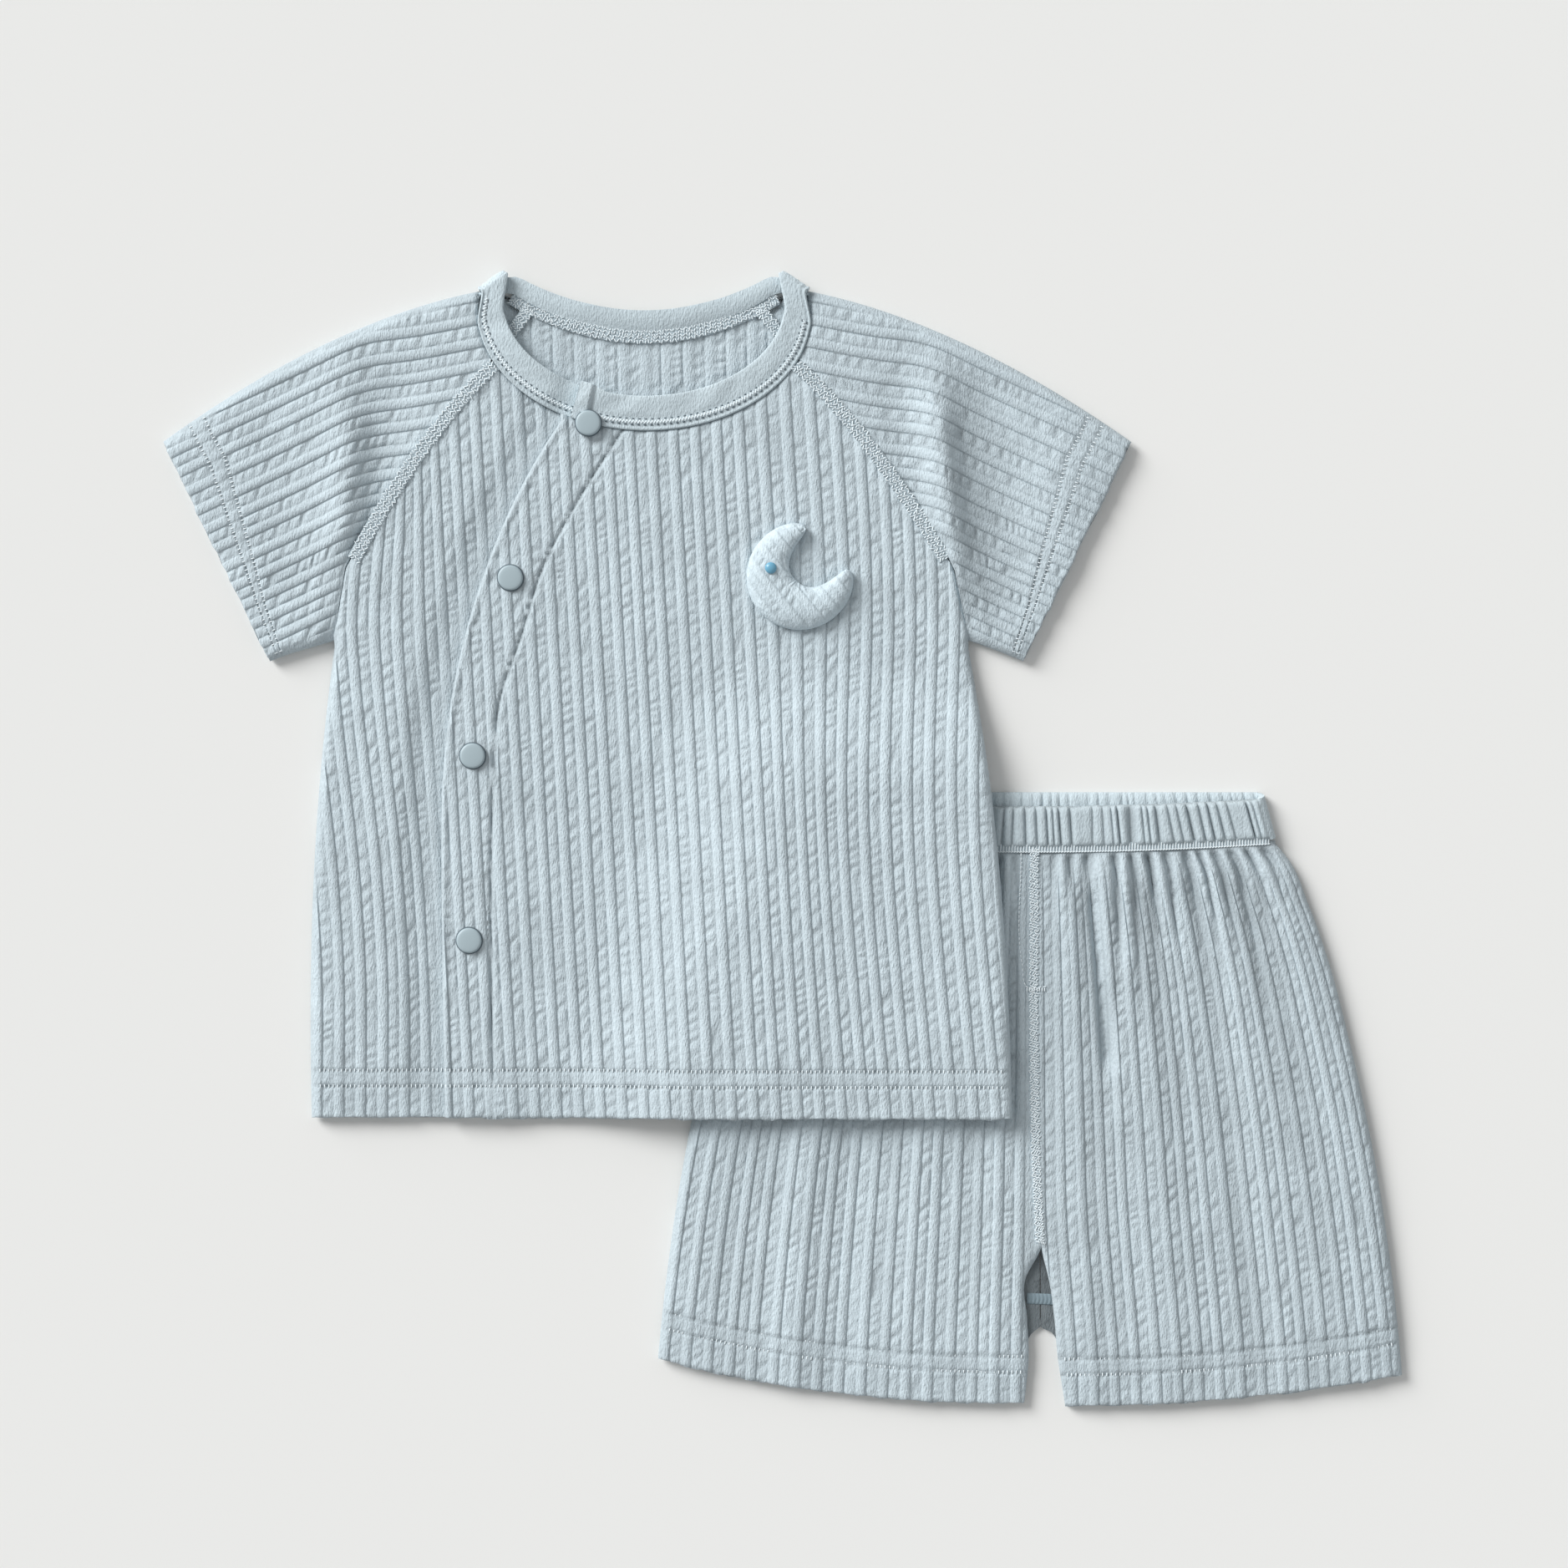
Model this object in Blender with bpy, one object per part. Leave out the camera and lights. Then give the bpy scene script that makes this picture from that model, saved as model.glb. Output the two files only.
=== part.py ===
"""A baby's short-sleeved wrap top and gathered shorts, laid flat with the top partly over the shorts.

Each cut piece of cloth is one closed wall. Sizes are in millimetres, in two plan frames: the top's, whose
origin is the middle of its hem, and the shorts', whose origin is the foot of the centre-front seam.
+X is to the viewer's right, +Y towards the neck and waist, +Z up from the surface that both lie on.
Left and right are the wearer's, so the left front and sleeve are on the +X side.
"""

import math

import bmesh
import bpy
import numpy as np

MM = 0.001
GAP = 0.3  # between pieces at a seam, and under what lies on a panel

# Where the two garments lie.
TOP_AT = (-48.84, -111.0)
SHORTS_AT = (99.0, -225.8)
TOP_LEAN = 0.021  # the top lies turned a little: sideways shift for each mm up

# The cloth: a puckered knit with smooth raised ribs.
WALL = 1.4
RIB_HEIGHT = 0.8
RIB_SHARE = 0.5  # of a rib's pitch that the rib and its flanks take
RIB_FLANK = 0.08
EDGE_RADIUS = 5.0  # how far a side rounds away
SEAM_HEIGHT = 2.8  # of a side seam above what the garment lies on

# The top.
HEM_HALF = 139.2
BODY_TAPER = 19.0  # half width lost between hem and underarm
UNDERARM_Y = 220.0
BODY_RIBS = 32
TOP_GAP = 2.8  # air between back and front
HEM_GAP = 1.8  # the same at a hem or cuff
HEM_DEPTH = 25.0  # over which the front comes down to its hem
NECK_CENTRE_Y = 320.0
NECK_HALF = 66.5
NECK_DROP = 47.0
RAGLAN_X, RAGLAN_Y = 60.0, 301.0
RAGLAN_SLOPE, RAGLAN_BEND = 0.917, 0.00722
BACK_NECK_Y = 312.3
BACK_NECK_RISE, BACK_NECK_SPAN = 16.0, 54.0
BACK_RAGLAN_X = 45.0

# The wrap: the left front's free edge runs from the neck down and outwards, then straight to the hem.
WRAP_X = -86.0
WRAP_TOP_X, WRAP_TOP_Y = -34.5, 277.0
WRAP_STRAIGHT_Y = 112.0
WRAP_POWER = 2.3
WRAP_UNDER = 18.0  # how far the right front goes on beneath it
UNDER_GAP = 1.0

# Sleeves.
SHOULDER = (66.8, 329.0)
BACK_SHOULDER = (56.5, 328.0)
ARMHOLE_LOW_Y = 190.0
CUFF_TOP = (192.8, 269.0)
CUFF_LOW_Y = 181.6
CUFF_LOW_X = {-1: 152.0, 1: 148.0}
SLEEVE_RIBS = 15
SLEEVE_HEIGHT = 5.7
# Angles of a sleeve's ribs, as polynomials from the shoulder to the underarm.
SLEEVE_LEAVE = (-0.2, 0.75, -0.9)
SLEEVE_ARRIVE = (-0.62, 0.2)

# The neckband: a folded strip, its seam edge on the neckline and its free edge inside that.
BAND_THICK = 2.4
FREE_HALF, FREE_DROP, FREE_CENTRE_Y = 56.0, 38.0, 325.0
FREE_BACK_Y, FREE_BACK_RISE, BACK_LIFT = 321.3, 15.4, 1.2
FOLD_RADIUS = 2.2
FOLD_SEAM = (64.4, 327.3)
FOLD_FREE = (53.8, 334.5)
FOLD_OUTWARD = (0.52, 0.854)

# Fastenings and the sewn-on moon.
SNAP_DIAMETER = 10.0
SNAP_HEIGHT = 1.9
NECK_SNAP_FOOT = 8.2  # it sits on the neckband's end
SNAPS = {"neck": (-23.0, 276.0), "chest": (-55.3, 214.7), "waist": (-71.8, 144.0), "hem": (-74.7, 70.7)}
MOON_CENTRE = (59.4, 214.9)
MOON_SPINE = (11.4, 19.0)  # radius of the crescent's middle line, at its middle and at its horns
MOON_HALF_WIDTH = (9.7, 4.0)
MOON_SWEEP = 144.0  # degrees from its middle to each horn
MOON_HEIGHT = 5.0
MOON_RIM = 0.5
DOT_AT = (-11.2, 3.4)
DOT_DIAMETER = 4.6
DOT_HEIGHT = 1.4

# The shorts.
SHORTS_RIBS = 17  # on each half of the front
SHORTS_GAP = 2.8
LEG_WIDTH = 130.0  # of one leg, about
LEG_LENGTH = 224.0
WAIST_Y = 244.3
WAIST_HALF = 93.5
WAIST_SHIFT = -1.3  # the shorts' middle at the waist lies this far from the seam's foot
WAIST_FLARE = 0.05
BAND_HEIGHT = 16.5
WAIST_STEP = (3.0, 3.3)  # how far the band's front lies below its back: at the ends, and more at the middle
WAIST_PLEATS = 32  # on each side of the band
PLEAT = 0.8
GATHER = 1.7
VALLEY_SHARE = 0.3  # of a gather's depth that lies below the plain cloth
GATHER_LENGTH = 70.0
SIDE_CURVE = {"y": (0, 40, 94, 147, 174, 200, 217, 224), "x": (149.5, 145.8, 138.2, 127, 120, 111, 103.5, 98)}
INSEAM_CURVE = {
    "y": (0, 23, 35, 50, 62, 94, 222),
    "left": (13.0, 9.6, 8.6, 6.5, 3.6, 1.6, 0.4),
    "right": (-3.4, -1.6, -2.2, -3.0, 2.9, 1.0, -0.2),
    "back_left": (13.2, 9.9, 3.4, 3.4, 3.2, 1.6, 0.4),
    "back_right": (-3.6, -1.8, 2.9, 2.9, 2.7, 1.0, -0.2),
}
LEG_HEM = {1: (0.0, 12.7), -1: (1.0, 18.0)}  # height at the inseam, and its rise to the side
LIFT = 8.3  # of the top where it lies on the shorts
LIFT_REACH = 54.0  # how far outside the shorts it comes down to the surface

# Rows and columns that the top's walls share, so that walls which lie on each other bend alike.
LOW_ROWS = np.array([0, 8, 24, 76, 118, 128, 137, 146, 156, 190]) / 190
HIGH_ROWS = np.array([0.4, 0.8, 1])
LOW_TOP = 190.0
PLAIN_Q = np.array(
    [-132, -120, -104, -90, -76, -60, -44, -30, -16, -2, 12, 24, 34, 44, 54, 66, 80, 94, 108, 120, 132]
)

# Soft folds: where each starts and ends, its half width and its height.
TOP_FOLDS = [
    {"from": (-112, 40), "to": (-100, 170), "half": 16, "high": 0.5},
    {"from": (-20, 30), "to": (-34, 190), "half": 20, "high": -0.5},
    {"from": (48, 20), "to": (66, 150), "half": 18, "high": 0.6},
    {"from": (20, 120), "to": (6, 250), "half": 22, "high": 0.5},
    {"from": (104, 60), "to": (96, 190), "half": 14, "high": -0.6},
]
SLEEVE_FOLDS = [
    {"from": (126, 200), "to": (116, 272), "half": 7, "high": 1.3},
    {"from": (112, 232), "to": (100, 288), "half": 9, "high": -1.1},
    {"from": (142, 215), "to": (150, 282), "half": 12, "high": -0.9},
    {"from": (160, 200), "to": (172, 262), "half": 10, "high": 0.5},
]
SHORTS_FOLDS = [
    {"from": (21, 218), "to": (34, 90), "half": 3.5, "high": -1.3},
    {"from": (40, 190), "to": (62, 30), "half": 9, "high": 0.8},
    {"from": (60, 200), "to": (92, 30), "half": 8, "high": -0.8},
    {"from": (84, 205), "to": (120, 30), "half": 8, "high": 0.7},
    {"from": (-38, 190), "to": (-52, 30), "half": 8, "high": 0.7},
    {"from": (-66, 150), "to": (-76, 20), "half": 7, "high": -1.2},
    {"from": (-84, 190), "to": (-96, 30), "half": 9, "high": 0.8},
    {"from": (-112, 150), "to": (-124, 40), "half": 7, "high": -0.7},
]


def smooth(t):
    t = np.clip(t, 0, 1)
    return t * t * (3 - 2 * t)


def rounded(distance, radius):
    """A quarter circle: 0 at an edge, 1 at the radius and beyond."""
    k = np.clip(distance / radius, 0, 1)
    return np.sqrt(1 - (1 - k) ** 2)


def curve_through(t, knots, values):
    """A smooth curve through a short table of points."""
    knots, values = np.asarray(knots, float), np.asarray(values, float)
    slope = np.gradient(values, knots)
    t = np.clip(np.asarray(t, float), knots[0], knots[-1])
    i = np.clip(np.searchsorted(knots, t, side="right") - 1, 0, len(knots) - 2)
    span = knots[i + 1] - knots[i]
    k = (t - knots[i]) / span
    return (
        values[i] * (1 + 2 * k) * (1 - k) ** 2
        + span * slope[i] * k * (1 - k) ** 2
        + values[i + 1] * k * k * (3 - 2 * k)
        + span * slope[i + 1] * k * k * (k - 1)
    )


def rib(phase):
    """1 on top of a rib, 0 on the puckered band beside it. The phase counts ribs."""
    p = np.mod(phase, 1.0)
    return np.clip(np.minimum(p, RIB_SHARE - p) / RIB_FLANK, 0, 1)


def rib_columns(low, high, extra=()):
    """Phases at which a ribbed wall needs a column: each rib's corners, both ends and any others named."""
    corners = [0, RIB_FLANK, RIB_SHARE - RIB_FLANK, RIB_SHARE]
    inner = [k + c for k in range(math.floor(low), math.ceil(high)) for c in corners]
    kept = [low, high, *extra]
    kept += [p for p in inner if all(abs(p - e) > 0.06 for e in kept) and low < p < high]
    return np.array(sorted(kept))


def fold_height(x, y, folds, mirror=1):
    """Sum of the soft folds at points of a plan."""
    total = np.zeros(np.broadcast(x, y).shape)
    for fold in folds:
        (x0, y0), (x1, y1) = fold["from"], fold["to"]
        dx, dy = x1 - x0, y1 - y0
        along = ((mirror * x - x0) * dx + (y - y0) * dy) / (dx * dx + dy * dy)
        away = np.abs((mirror * x - x0) * dy - (y - y0) * dx) / math.hypot(dx, dy)
        fade = smooth(along / 0.25 + 1) * smooth((1 - along) / 0.25 + 1)
        total = total + fold["high"] * np.exp(-((away / fold["half"]) ** 2)) * fade
    return total


def shorts_outline():
    """The shorts' outer edge as seen from above, in the shorts' frame."""
    y = np.linspace(WAIST_Y, 14, 12)
    side = side_x(y)
    feet = [(140, 9), (60, 1), (-60, 4), (-140, 14)]
    right = [(x, v) for x, v in zip(side, y)]
    left = [(-x + 2 * WAIST_SHIFT, v) for x, v in zip(side, y)]
    return np.array(right + feet + left[::-1])


def side_x(y):
    return curve_through(y, SIDE_CURVE["y"], SIDE_CURVE["x"]) + WAIST_SHIFT


def outside_distance(x, y, outline):
    """Distance from points to a closed outline, 0 inside it."""
    nearest = np.full(np.broadcast(x, y).shape, 1e9)
    inside = np.zeros(nearest.shape, bool)
    for (x0, y0), (x1, y1) in zip(outline, np.roll(outline, -1, axis=0)):
        dx, dy = x1 - x0, y1 - y0
        k = np.clip(((x - x0) * dx + (y - y0) * dy) / (dx * dx + dy * dy), 0, 1)
        nearest = np.minimum(nearest, np.hypot(x - x0 - k * dx, y - y0 - k * dy))
        crosses = (y0 > y) != (y1 > y)
        inside ^= crosses & (x < x0 + (y - y0) * dx / np.where(dy == 0, 1e-9, dy))
    return np.where(inside, 0, nearest)


def top_base(x, y):
    """Height of what the top lies on: the surface, or the shorts."""
    far = outside_distance(x + TOP_AT[0] - SHORTS_AT[0], y + TOP_AT[1] - SHORTS_AT[1], shorts_outline())
    return LIFT * smooth(1 - far / LIFT_REACH)


def taper(y):
    return BODY_TAPER * (np.clip(y, 0, UNDERARM_Y) / UNDERARM_Y) ** 2.3


def body_x(q, y):
    """Where the rib that is q from the middle at the hem runs, at height y."""
    return q - (q / HEM_HALF) ** 3 * taper(y)


def body_q(x):
    """The rib at x above the underarm, where ribs run straight."""
    q = np.asarray(x, float)
    for _ in range(8):
        q = x + (q / HEM_HALF) ** 3 * BODY_TAPER
    return q


def neck_y(x, grown=2 * GAP):
    a, b = NECK_HALF + grown, NECK_DROP + grown
    return NECK_CENTRE_Y - b * np.sqrt(np.clip(1 - (x / a) ** 2, 0, 1))


def raglan_y(x):
    d = np.abs(x) - RAGLAN_X
    return RAGLAN_Y - RAGLAN_SLOPE * d - RAGLAN_BEND * d * d


def raglan_x(y):
    drop = np.clip(RAGLAN_Y - y, 0, None)
    root = np.sqrt(RAGLAN_SLOPE**2 + 4 * RAGLAN_BEND * drop)
    return RAGLAN_X + (root - RAGLAN_SLOPE) / (2 * RAGLAN_BEND)


def front_top_y(q):
    """Upper edge of a front: the neckline inside the raglan seams."""
    x = body_x(q, UNDERARM_Y)
    return np.where(np.abs(x) < RAGLAN_X, np.minimum(neck_y(x), raglan_y(RAGLAN_X) - GAP), raglan_y(x) - GAP)


def wrap_y(q, shift=0.0):
    """Height at which the wrap's free edge crosses the rib q."""
    k = np.clip((q - shift - WRAP_X) / (WRAP_TOP_X - WRAP_X), 0, 1)
    return WRAP_STRAIGHT_Y + (WRAP_TOP_Y - WRAP_STRAIGHT_Y) * k ** (1 / WRAP_POWER)


def wrap_edge_q(y):
    """The rib that the wrap's free edge crosses at height y."""
    k = np.clip((y - WRAP_STRAIGHT_Y) / (WRAP_TOP_Y - WRAP_STRAIGHT_Y), 0, 1)
    return WRAP_X + (WRAP_TOP_X - WRAP_X) * k**WRAP_POWER


def left_top_y(q):
    return np.minimum(front_top_y(q), np.where(q < WRAP_TOP_X, wrap_y(q), 1e9))


def right_foot_y(q):
    """Lower edge of the right front: the hem, then its own free edge, which runs beside the wrap's."""
    return np.where(q > WRAP_X + WRAP_UNDER + 0.1, wrap_y(q, WRAP_UNDER), 0.0)


def panel_rows(foot, top):
    """Heights of a panel's rows in each column. The lower rows lie at the same heights in every panel."""
    low_top = np.minimum(LOW_TOP, foot + 0.9 * (top - foot))
    low = foot + (low_top - foot) * LOW_ROWS[:, None]
    low = np.where(foot > 0, low, low_top * LOW_ROWS[:, None])
    return np.vstack([low, low_top + (top - low_top) * HIGH_ROWS[:, None]])


def left_inner(q, y):
    """Height of the left front's inner face above what the top lies on."""
    x = body_x(q, y)
    hem = (TOP_GAP - HEM_GAP) * (1 - smooth(y / HEM_DEPTH))
    on_wrap = 1 - smooth((q - wrap_edge_q(y) - WRAP_UNDER - 3) / 14)
    return WALL + TOP_GAP + 0.3 * on_wrap + (fold_height(x, y, TOP_FOLDS) - hem) * (1 - on_wrap)


def right_inner(q, y):
    x = body_x(q, y)
    hem = (TOP_GAP - HEM_GAP) * (1 - smooth(y / HEM_DEPTH))
    free = WALL + TOP_GAP - hem + fold_height(x, y, TOP_FOLDS)
    tucked = WALL + UNDER_GAP
    return tucked + (free - tucked) * smooth((wrap_edge_q(y) - 7 - q) / 13)


def plan_to_world(x, y, z, frame):
    if frame == "top":
        return np.stack([x - TOP_LEAN * y + TOP_AT[0], y + TOP_AT[1], z], axis=-1)
    return np.stack([x + SHORTS_AT[0], y + SHORTS_AT[1], z], axis=-1)


def top_floor(x, y):
    """What the top lies on, at points of its own frame before the lean."""
    return top_base(x - TOP_LEAN * y, y)


def chains(rows, columns, start, ring):
    """Indices of a grid's edges: bottom, top, and left and right unless it is a ring."""
    grid = start + np.arange(rows * columns).reshape(rows, columns)
    if ring:
        return [np.append(grid[0], grid[0, 0]), np.append(grid[-1], grid[-1, 0])]
    return [grid[0], grid[-1], grid[:, 0], grid[:, -1]]


def zipped(a, b, at_a, at_b):
    """Triangles between two chains of points that run side by side."""
    faces, i, j = [], 0, 0
    while i < len(a) - 1 or j < len(b) - 1:
        if j == len(b) - 1 or (i < len(a) - 1 and at_a[i + 1] <= at_b[j + 1]):
            faces.append((a[i], a[i + 1], b[j]))
            i += 1
        else:
            faces.append((a[i], b[j + 1], b[j]))
            j += 1
    return faces


def grid_faces(rows, columns, start, ring):
    faces = []
    for r in range(rows - 1):
        for c in range(columns if ring else columns - 1):
            n = (c + 1) % columns
            a, b = start + r * columns, start + (r + 1) * columns
            faces.append((a + c, a + n, b + n, b + c))
    return faces


def wall(name, face, lining, places, material, ring=False):
    """One closed wall between two grids of points.

    places holds the four parameter lists: the face's rows and columns, then the lining's.
    """
    points = np.concatenate([face.reshape(-1, 3), lining.reshape(-1, 3)]) * MM
    start = face.shape[0] * face.shape[1]
    faces = grid_faces(*face.shape[:2], 0, ring) + grid_faces(*lining.shape[:2], start, ring)
    rows_f, columns_f, rows_l, columns_l = places
    if ring:
        columns_f, columns_l = np.append(columns_f, 1e9), np.append(columns_l, 1e9)
    along = [(columns_f, columns_l), (columns_f, columns_l), (rows_f, rows_l), (rows_f, rows_l)]
    pairs = zip(chains(*face.shape[:2], 0, ring), chains(*lining.shape[:2], start, ring), along)
    for a, b, (at_a, at_b) in pairs:
        faces += zipped(a, b, at_a, at_b)
    return solid(name, points, faces, material)


def solid(name, points, faces, material):
    """An object from points in metres, with its faces turned outwards."""
    mesh = bpy.data.meshes.new(name)
    mesh.from_pydata([tuple(p) for p in points], [], [tuple(int(i) for i in f) for f in faces])
    shape = bmesh.new()
    shape.from_mesh(mesh)
    bmesh.ops.recalc_face_normals(shape, faces=shape.faces)
    if shape.calc_volume(signed=True) < 0:
        bmesh.ops.reverse_faces(shape, faces=shape.faces)
    shape.to_mesh(mesh)
    shape.free()
    mesh.materials.append(material)
    mesh.shade_smooth()
    mesh.set_sharp_from_angle(angle=math.radians(35))
    obj = bpy.data.objects.new(name, mesh)
    bpy.context.scene.collection.objects.link(obj)
    return obj


def paint(name, colour, roughness, metallic=0.0):
    material = bpy.data.materials.new(name)
    material.use_nodes = True
    shader = material.node_tree.nodes["Principled BSDF"]
    shader.inputs["Base Color"].default_value = (*colour, 1)
    shader.inputs["Roughness"].default_value = roughness
    shader.inputs["Metallic"].default_value = metallic
    return material


def front_panel(name, q_low, q_high, foot_y, top_y, inner, side, ribbed, kinks, material):
    """A front of the top. side is -1 or 1, the edge with the side seam; kinks are columns that it needs."""
    pitch = 2 * HEM_HALF / BODY_RIBS
    steep = np.array([40, 46, 51, 55, 58, RAGLAN_X])
    kinks = [*kinks, *(q for q in body_q(np.concatenate([-steep, steep])) if q_low < q < q_high)]
    rim = [side * (HEM_HALF - d) for d in (0.6, 2.0)]
    phases = rib_columns(q_low / pitch, q_high / pitch, [q / pitch for q in [*kinks, *rim]])

    def sheet(q, lift, inset):
        y = panel_rows(foot_y(q), top_y(q))
        q = np.broadcast_to(q, y.shape)
        depth = HEM_HALF - side * q
        height = inner(q, y) + lift
        low = SEAM_HEIGHT + GAP / 2
        height = low + (height - low) * rounded(depth - inset, EDGE_RADIUS - inset)
        if lift:
            height = height + RIB_HEIGHT * rib(q / pitch) * smooth(ribbed(q, y) / 3) * smooth(depth / 3)
        x = body_x(q, y)
        return plan_to_world(x, y, height + top_floor(x, y), "top")

    ends = np.array([q_low, q_high])
    ends[(side + 1) // 2] -= side * WALL
    near_side = [side * (HEM_HALF - d) for d in (WALL + 0.5, 3.0)]
    plain = np.unique(np.round(np.concatenate([PLAIN_Q, ends, near_side, kinks]), 3))
    plain = plain[(plain >= ends[0] - 1e-6) & (plain <= ends[1] + 1e-6)]
    rows = np.arange(len(LOW_ROWS) + len(HIGH_ROWS))
    columns = phases * pitch
    face, lining = sheet(columns, WALL, 0.0), sheet(plain, 0.0, WALL)
    return wall(name, face, lining, (rows, columns, rows, plain), material)


def back_corner_y():
    return BACK_NECK_Y + BACK_NECK_RISE * (BACK_RAGLAN_X / BACK_NECK_SPAN) ** 2


def back_raglan_y(x):
    """The back's seam with a sleeve, from the neckline's corner to the underarm."""
    k = (x - BACK_RAGLAN_X) / (HEM_HALF - BODY_TAPER - BACK_RAGLAN_X)
    return back_corner_y() + (UNDERARM_Y - back_corner_y()) * (0.9 * k + 0.1 * k * k)


def back_top_y(q):
    x = np.abs(body_x(q, UNDERARM_Y))
    neck = BACK_NECK_Y + BACK_NECK_RISE * (x / BACK_NECK_SPAN) ** 2
    return np.where(x < BACK_RAGLAN_X, neck, back_raglan_y(x)) - GAP


def top_back(material):
    corner = float(body_q(BACK_RAGLAN_X))
    near_edge = [HEM_HALF - d for d in (0, 0.6, 2.0, EDGE_RADIUS)]
    plain = np.array(sorted([*PLAIN_Q, -corner, corner, *near_edge, *[-e for e in near_edge]]))
    rows = np.arange(len(LOW_ROWS) + len(HIGH_ROWS))

    def sheet(q, lift, inset):
        y = panel_rows(0.0 * q, back_top_y(q))
        q = np.broadcast_to(q, y.shape)
        depth = HEM_HALF - np.abs(q)
        seam = SEAM_HEIGHT - GAP / 2
        height = seam - (seam - lift) * rounded(depth - inset, EDGE_RADIUS - inset)
        x = body_x(q, y)
        return plan_to_world(x, y, height + top_floor(x, y), "top")

    inner_q = np.clip(plain, WALL - HEM_HALF, HEM_HALF - WALL)
    inner_q[[1, -2]] = [WALL + 0.4 - HEM_HALF, HEM_HALF - WALL - 0.4]
    face, lining = sheet(inner_q, WALL, WALL), sheet(plain, 0.0, 0.0)
    return wall("top_back", face, lining, (rows, plain, rows, plain), material)


def armhole(layer, t):
    """The sleeve's seam with the body, from the shoulder to the underarm, for a wearer's left sleeve."""
    if layer == "front":
        y = SHOULDER[1] + (ARMHOLE_LOW_Y - SHOULDER[1]) * t
        grown = 4 * GAP
        half, drop = NECK_HALF + grown, NECK_DROP + grown
        neck = half * np.sqrt(np.clip(1 - ((NECK_CENTRE_Y - y) / drop) ** 2, 0, 1))
        x = np.where(y > NECK_CENTRE_Y, half, neck)
        x = np.where(y < RAGLAN_Y, raglan_x(y) + 2 * GAP, x)
        return np.where(y < UNDERARM_Y, HEM_HALF - taper(y) + 2 * GAP, x), y
    underarm = HEM_HALF - BODY_TAPER
    knots = (0, 0.08, 0.16, 0.78, 1)
    low_x = HEM_HALF - taper(ARMHOLE_LOW_Y)
    x = np.interp(t, knots, (SHOULDER[0], BACK_SHOULDER[0], BACK_RAGLAN_X + 2 * GAP, underarm, low_x))
    heights = (SHOULDER[1], BACK_SHOULDER[1], back_corner_y(), UNDERARM_Y + 2 * GAP, ARMHOLE_LOW_Y)
    y = np.interp(t, knots, heights)
    y = np.where((t >= knots[2]) & (t < knots[3]), back_raglan_y(x) + 2 * GAP, y)
    down = (t - knots[1]) / (knots[2] - knots[1])
    behind_neck = BACK_SHOULDER[1] + (back_corner_y() + GAP - BACK_SHOULDER[1]) * down
    y = np.where((t > knots[1]) & (t < knots[2]), behind_neck, y)
    return x + np.where(t > 0.77, 3 * GAP, 0), y


def sleeve_plan(side, layer, s, t):
    """A point of a sleeve: s from armhole to cuff, t from the shoulder fold to the underarm."""
    x0, y0 = armhole(layer, t)
    x1 = CUFF_TOP[0] + (CUFF_LOW_X[side] - CUFF_TOP[0]) * t
    y1 = CUFF_TOP[1] + (CUFF_LOW_Y - CUFF_TOP[1]) * t
    reach = np.hypot(x1 - x0, y1 - y0)
    leave = sum(c * t**k for k, c in enumerate(SLEEVE_LEAVE))
    arrive = sum(c * t**k for k, c in enumerate(SLEEVE_ARRIVE))
    h = ((1 + 2 * s) * (1 - s) ** 2, s * (1 - s) ** 2, s * s * (3 - 2 * s), s * s * (s - 1))
    x = h[0] * x0 + h[2] * x1 + reach * (h[1] * np.cos(leave) + h[3] * np.cos(arrive))
    y = h[0] * y0 + h[2] * y1 + reach * (h[1] * np.sin(leave) + h[3] * np.sin(arrive))
    return side * x, y


def sleeve_top(side, s, t, x, y):
    """Height of a sleeve's upper layer between its edges, without its ribs."""
    cuff = (TOP_GAP - HEM_GAP) * smooth((s - 0.75) / 0.25)
    tucked = 1.7 * smooth((t - 0.66) / 0.2) * (1 - smooth(s / 0.4))
    return SLEEVE_HEIGHT - cuff - tucked + fold_height(x, y, SLEEVE_FOLDS, side)


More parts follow.
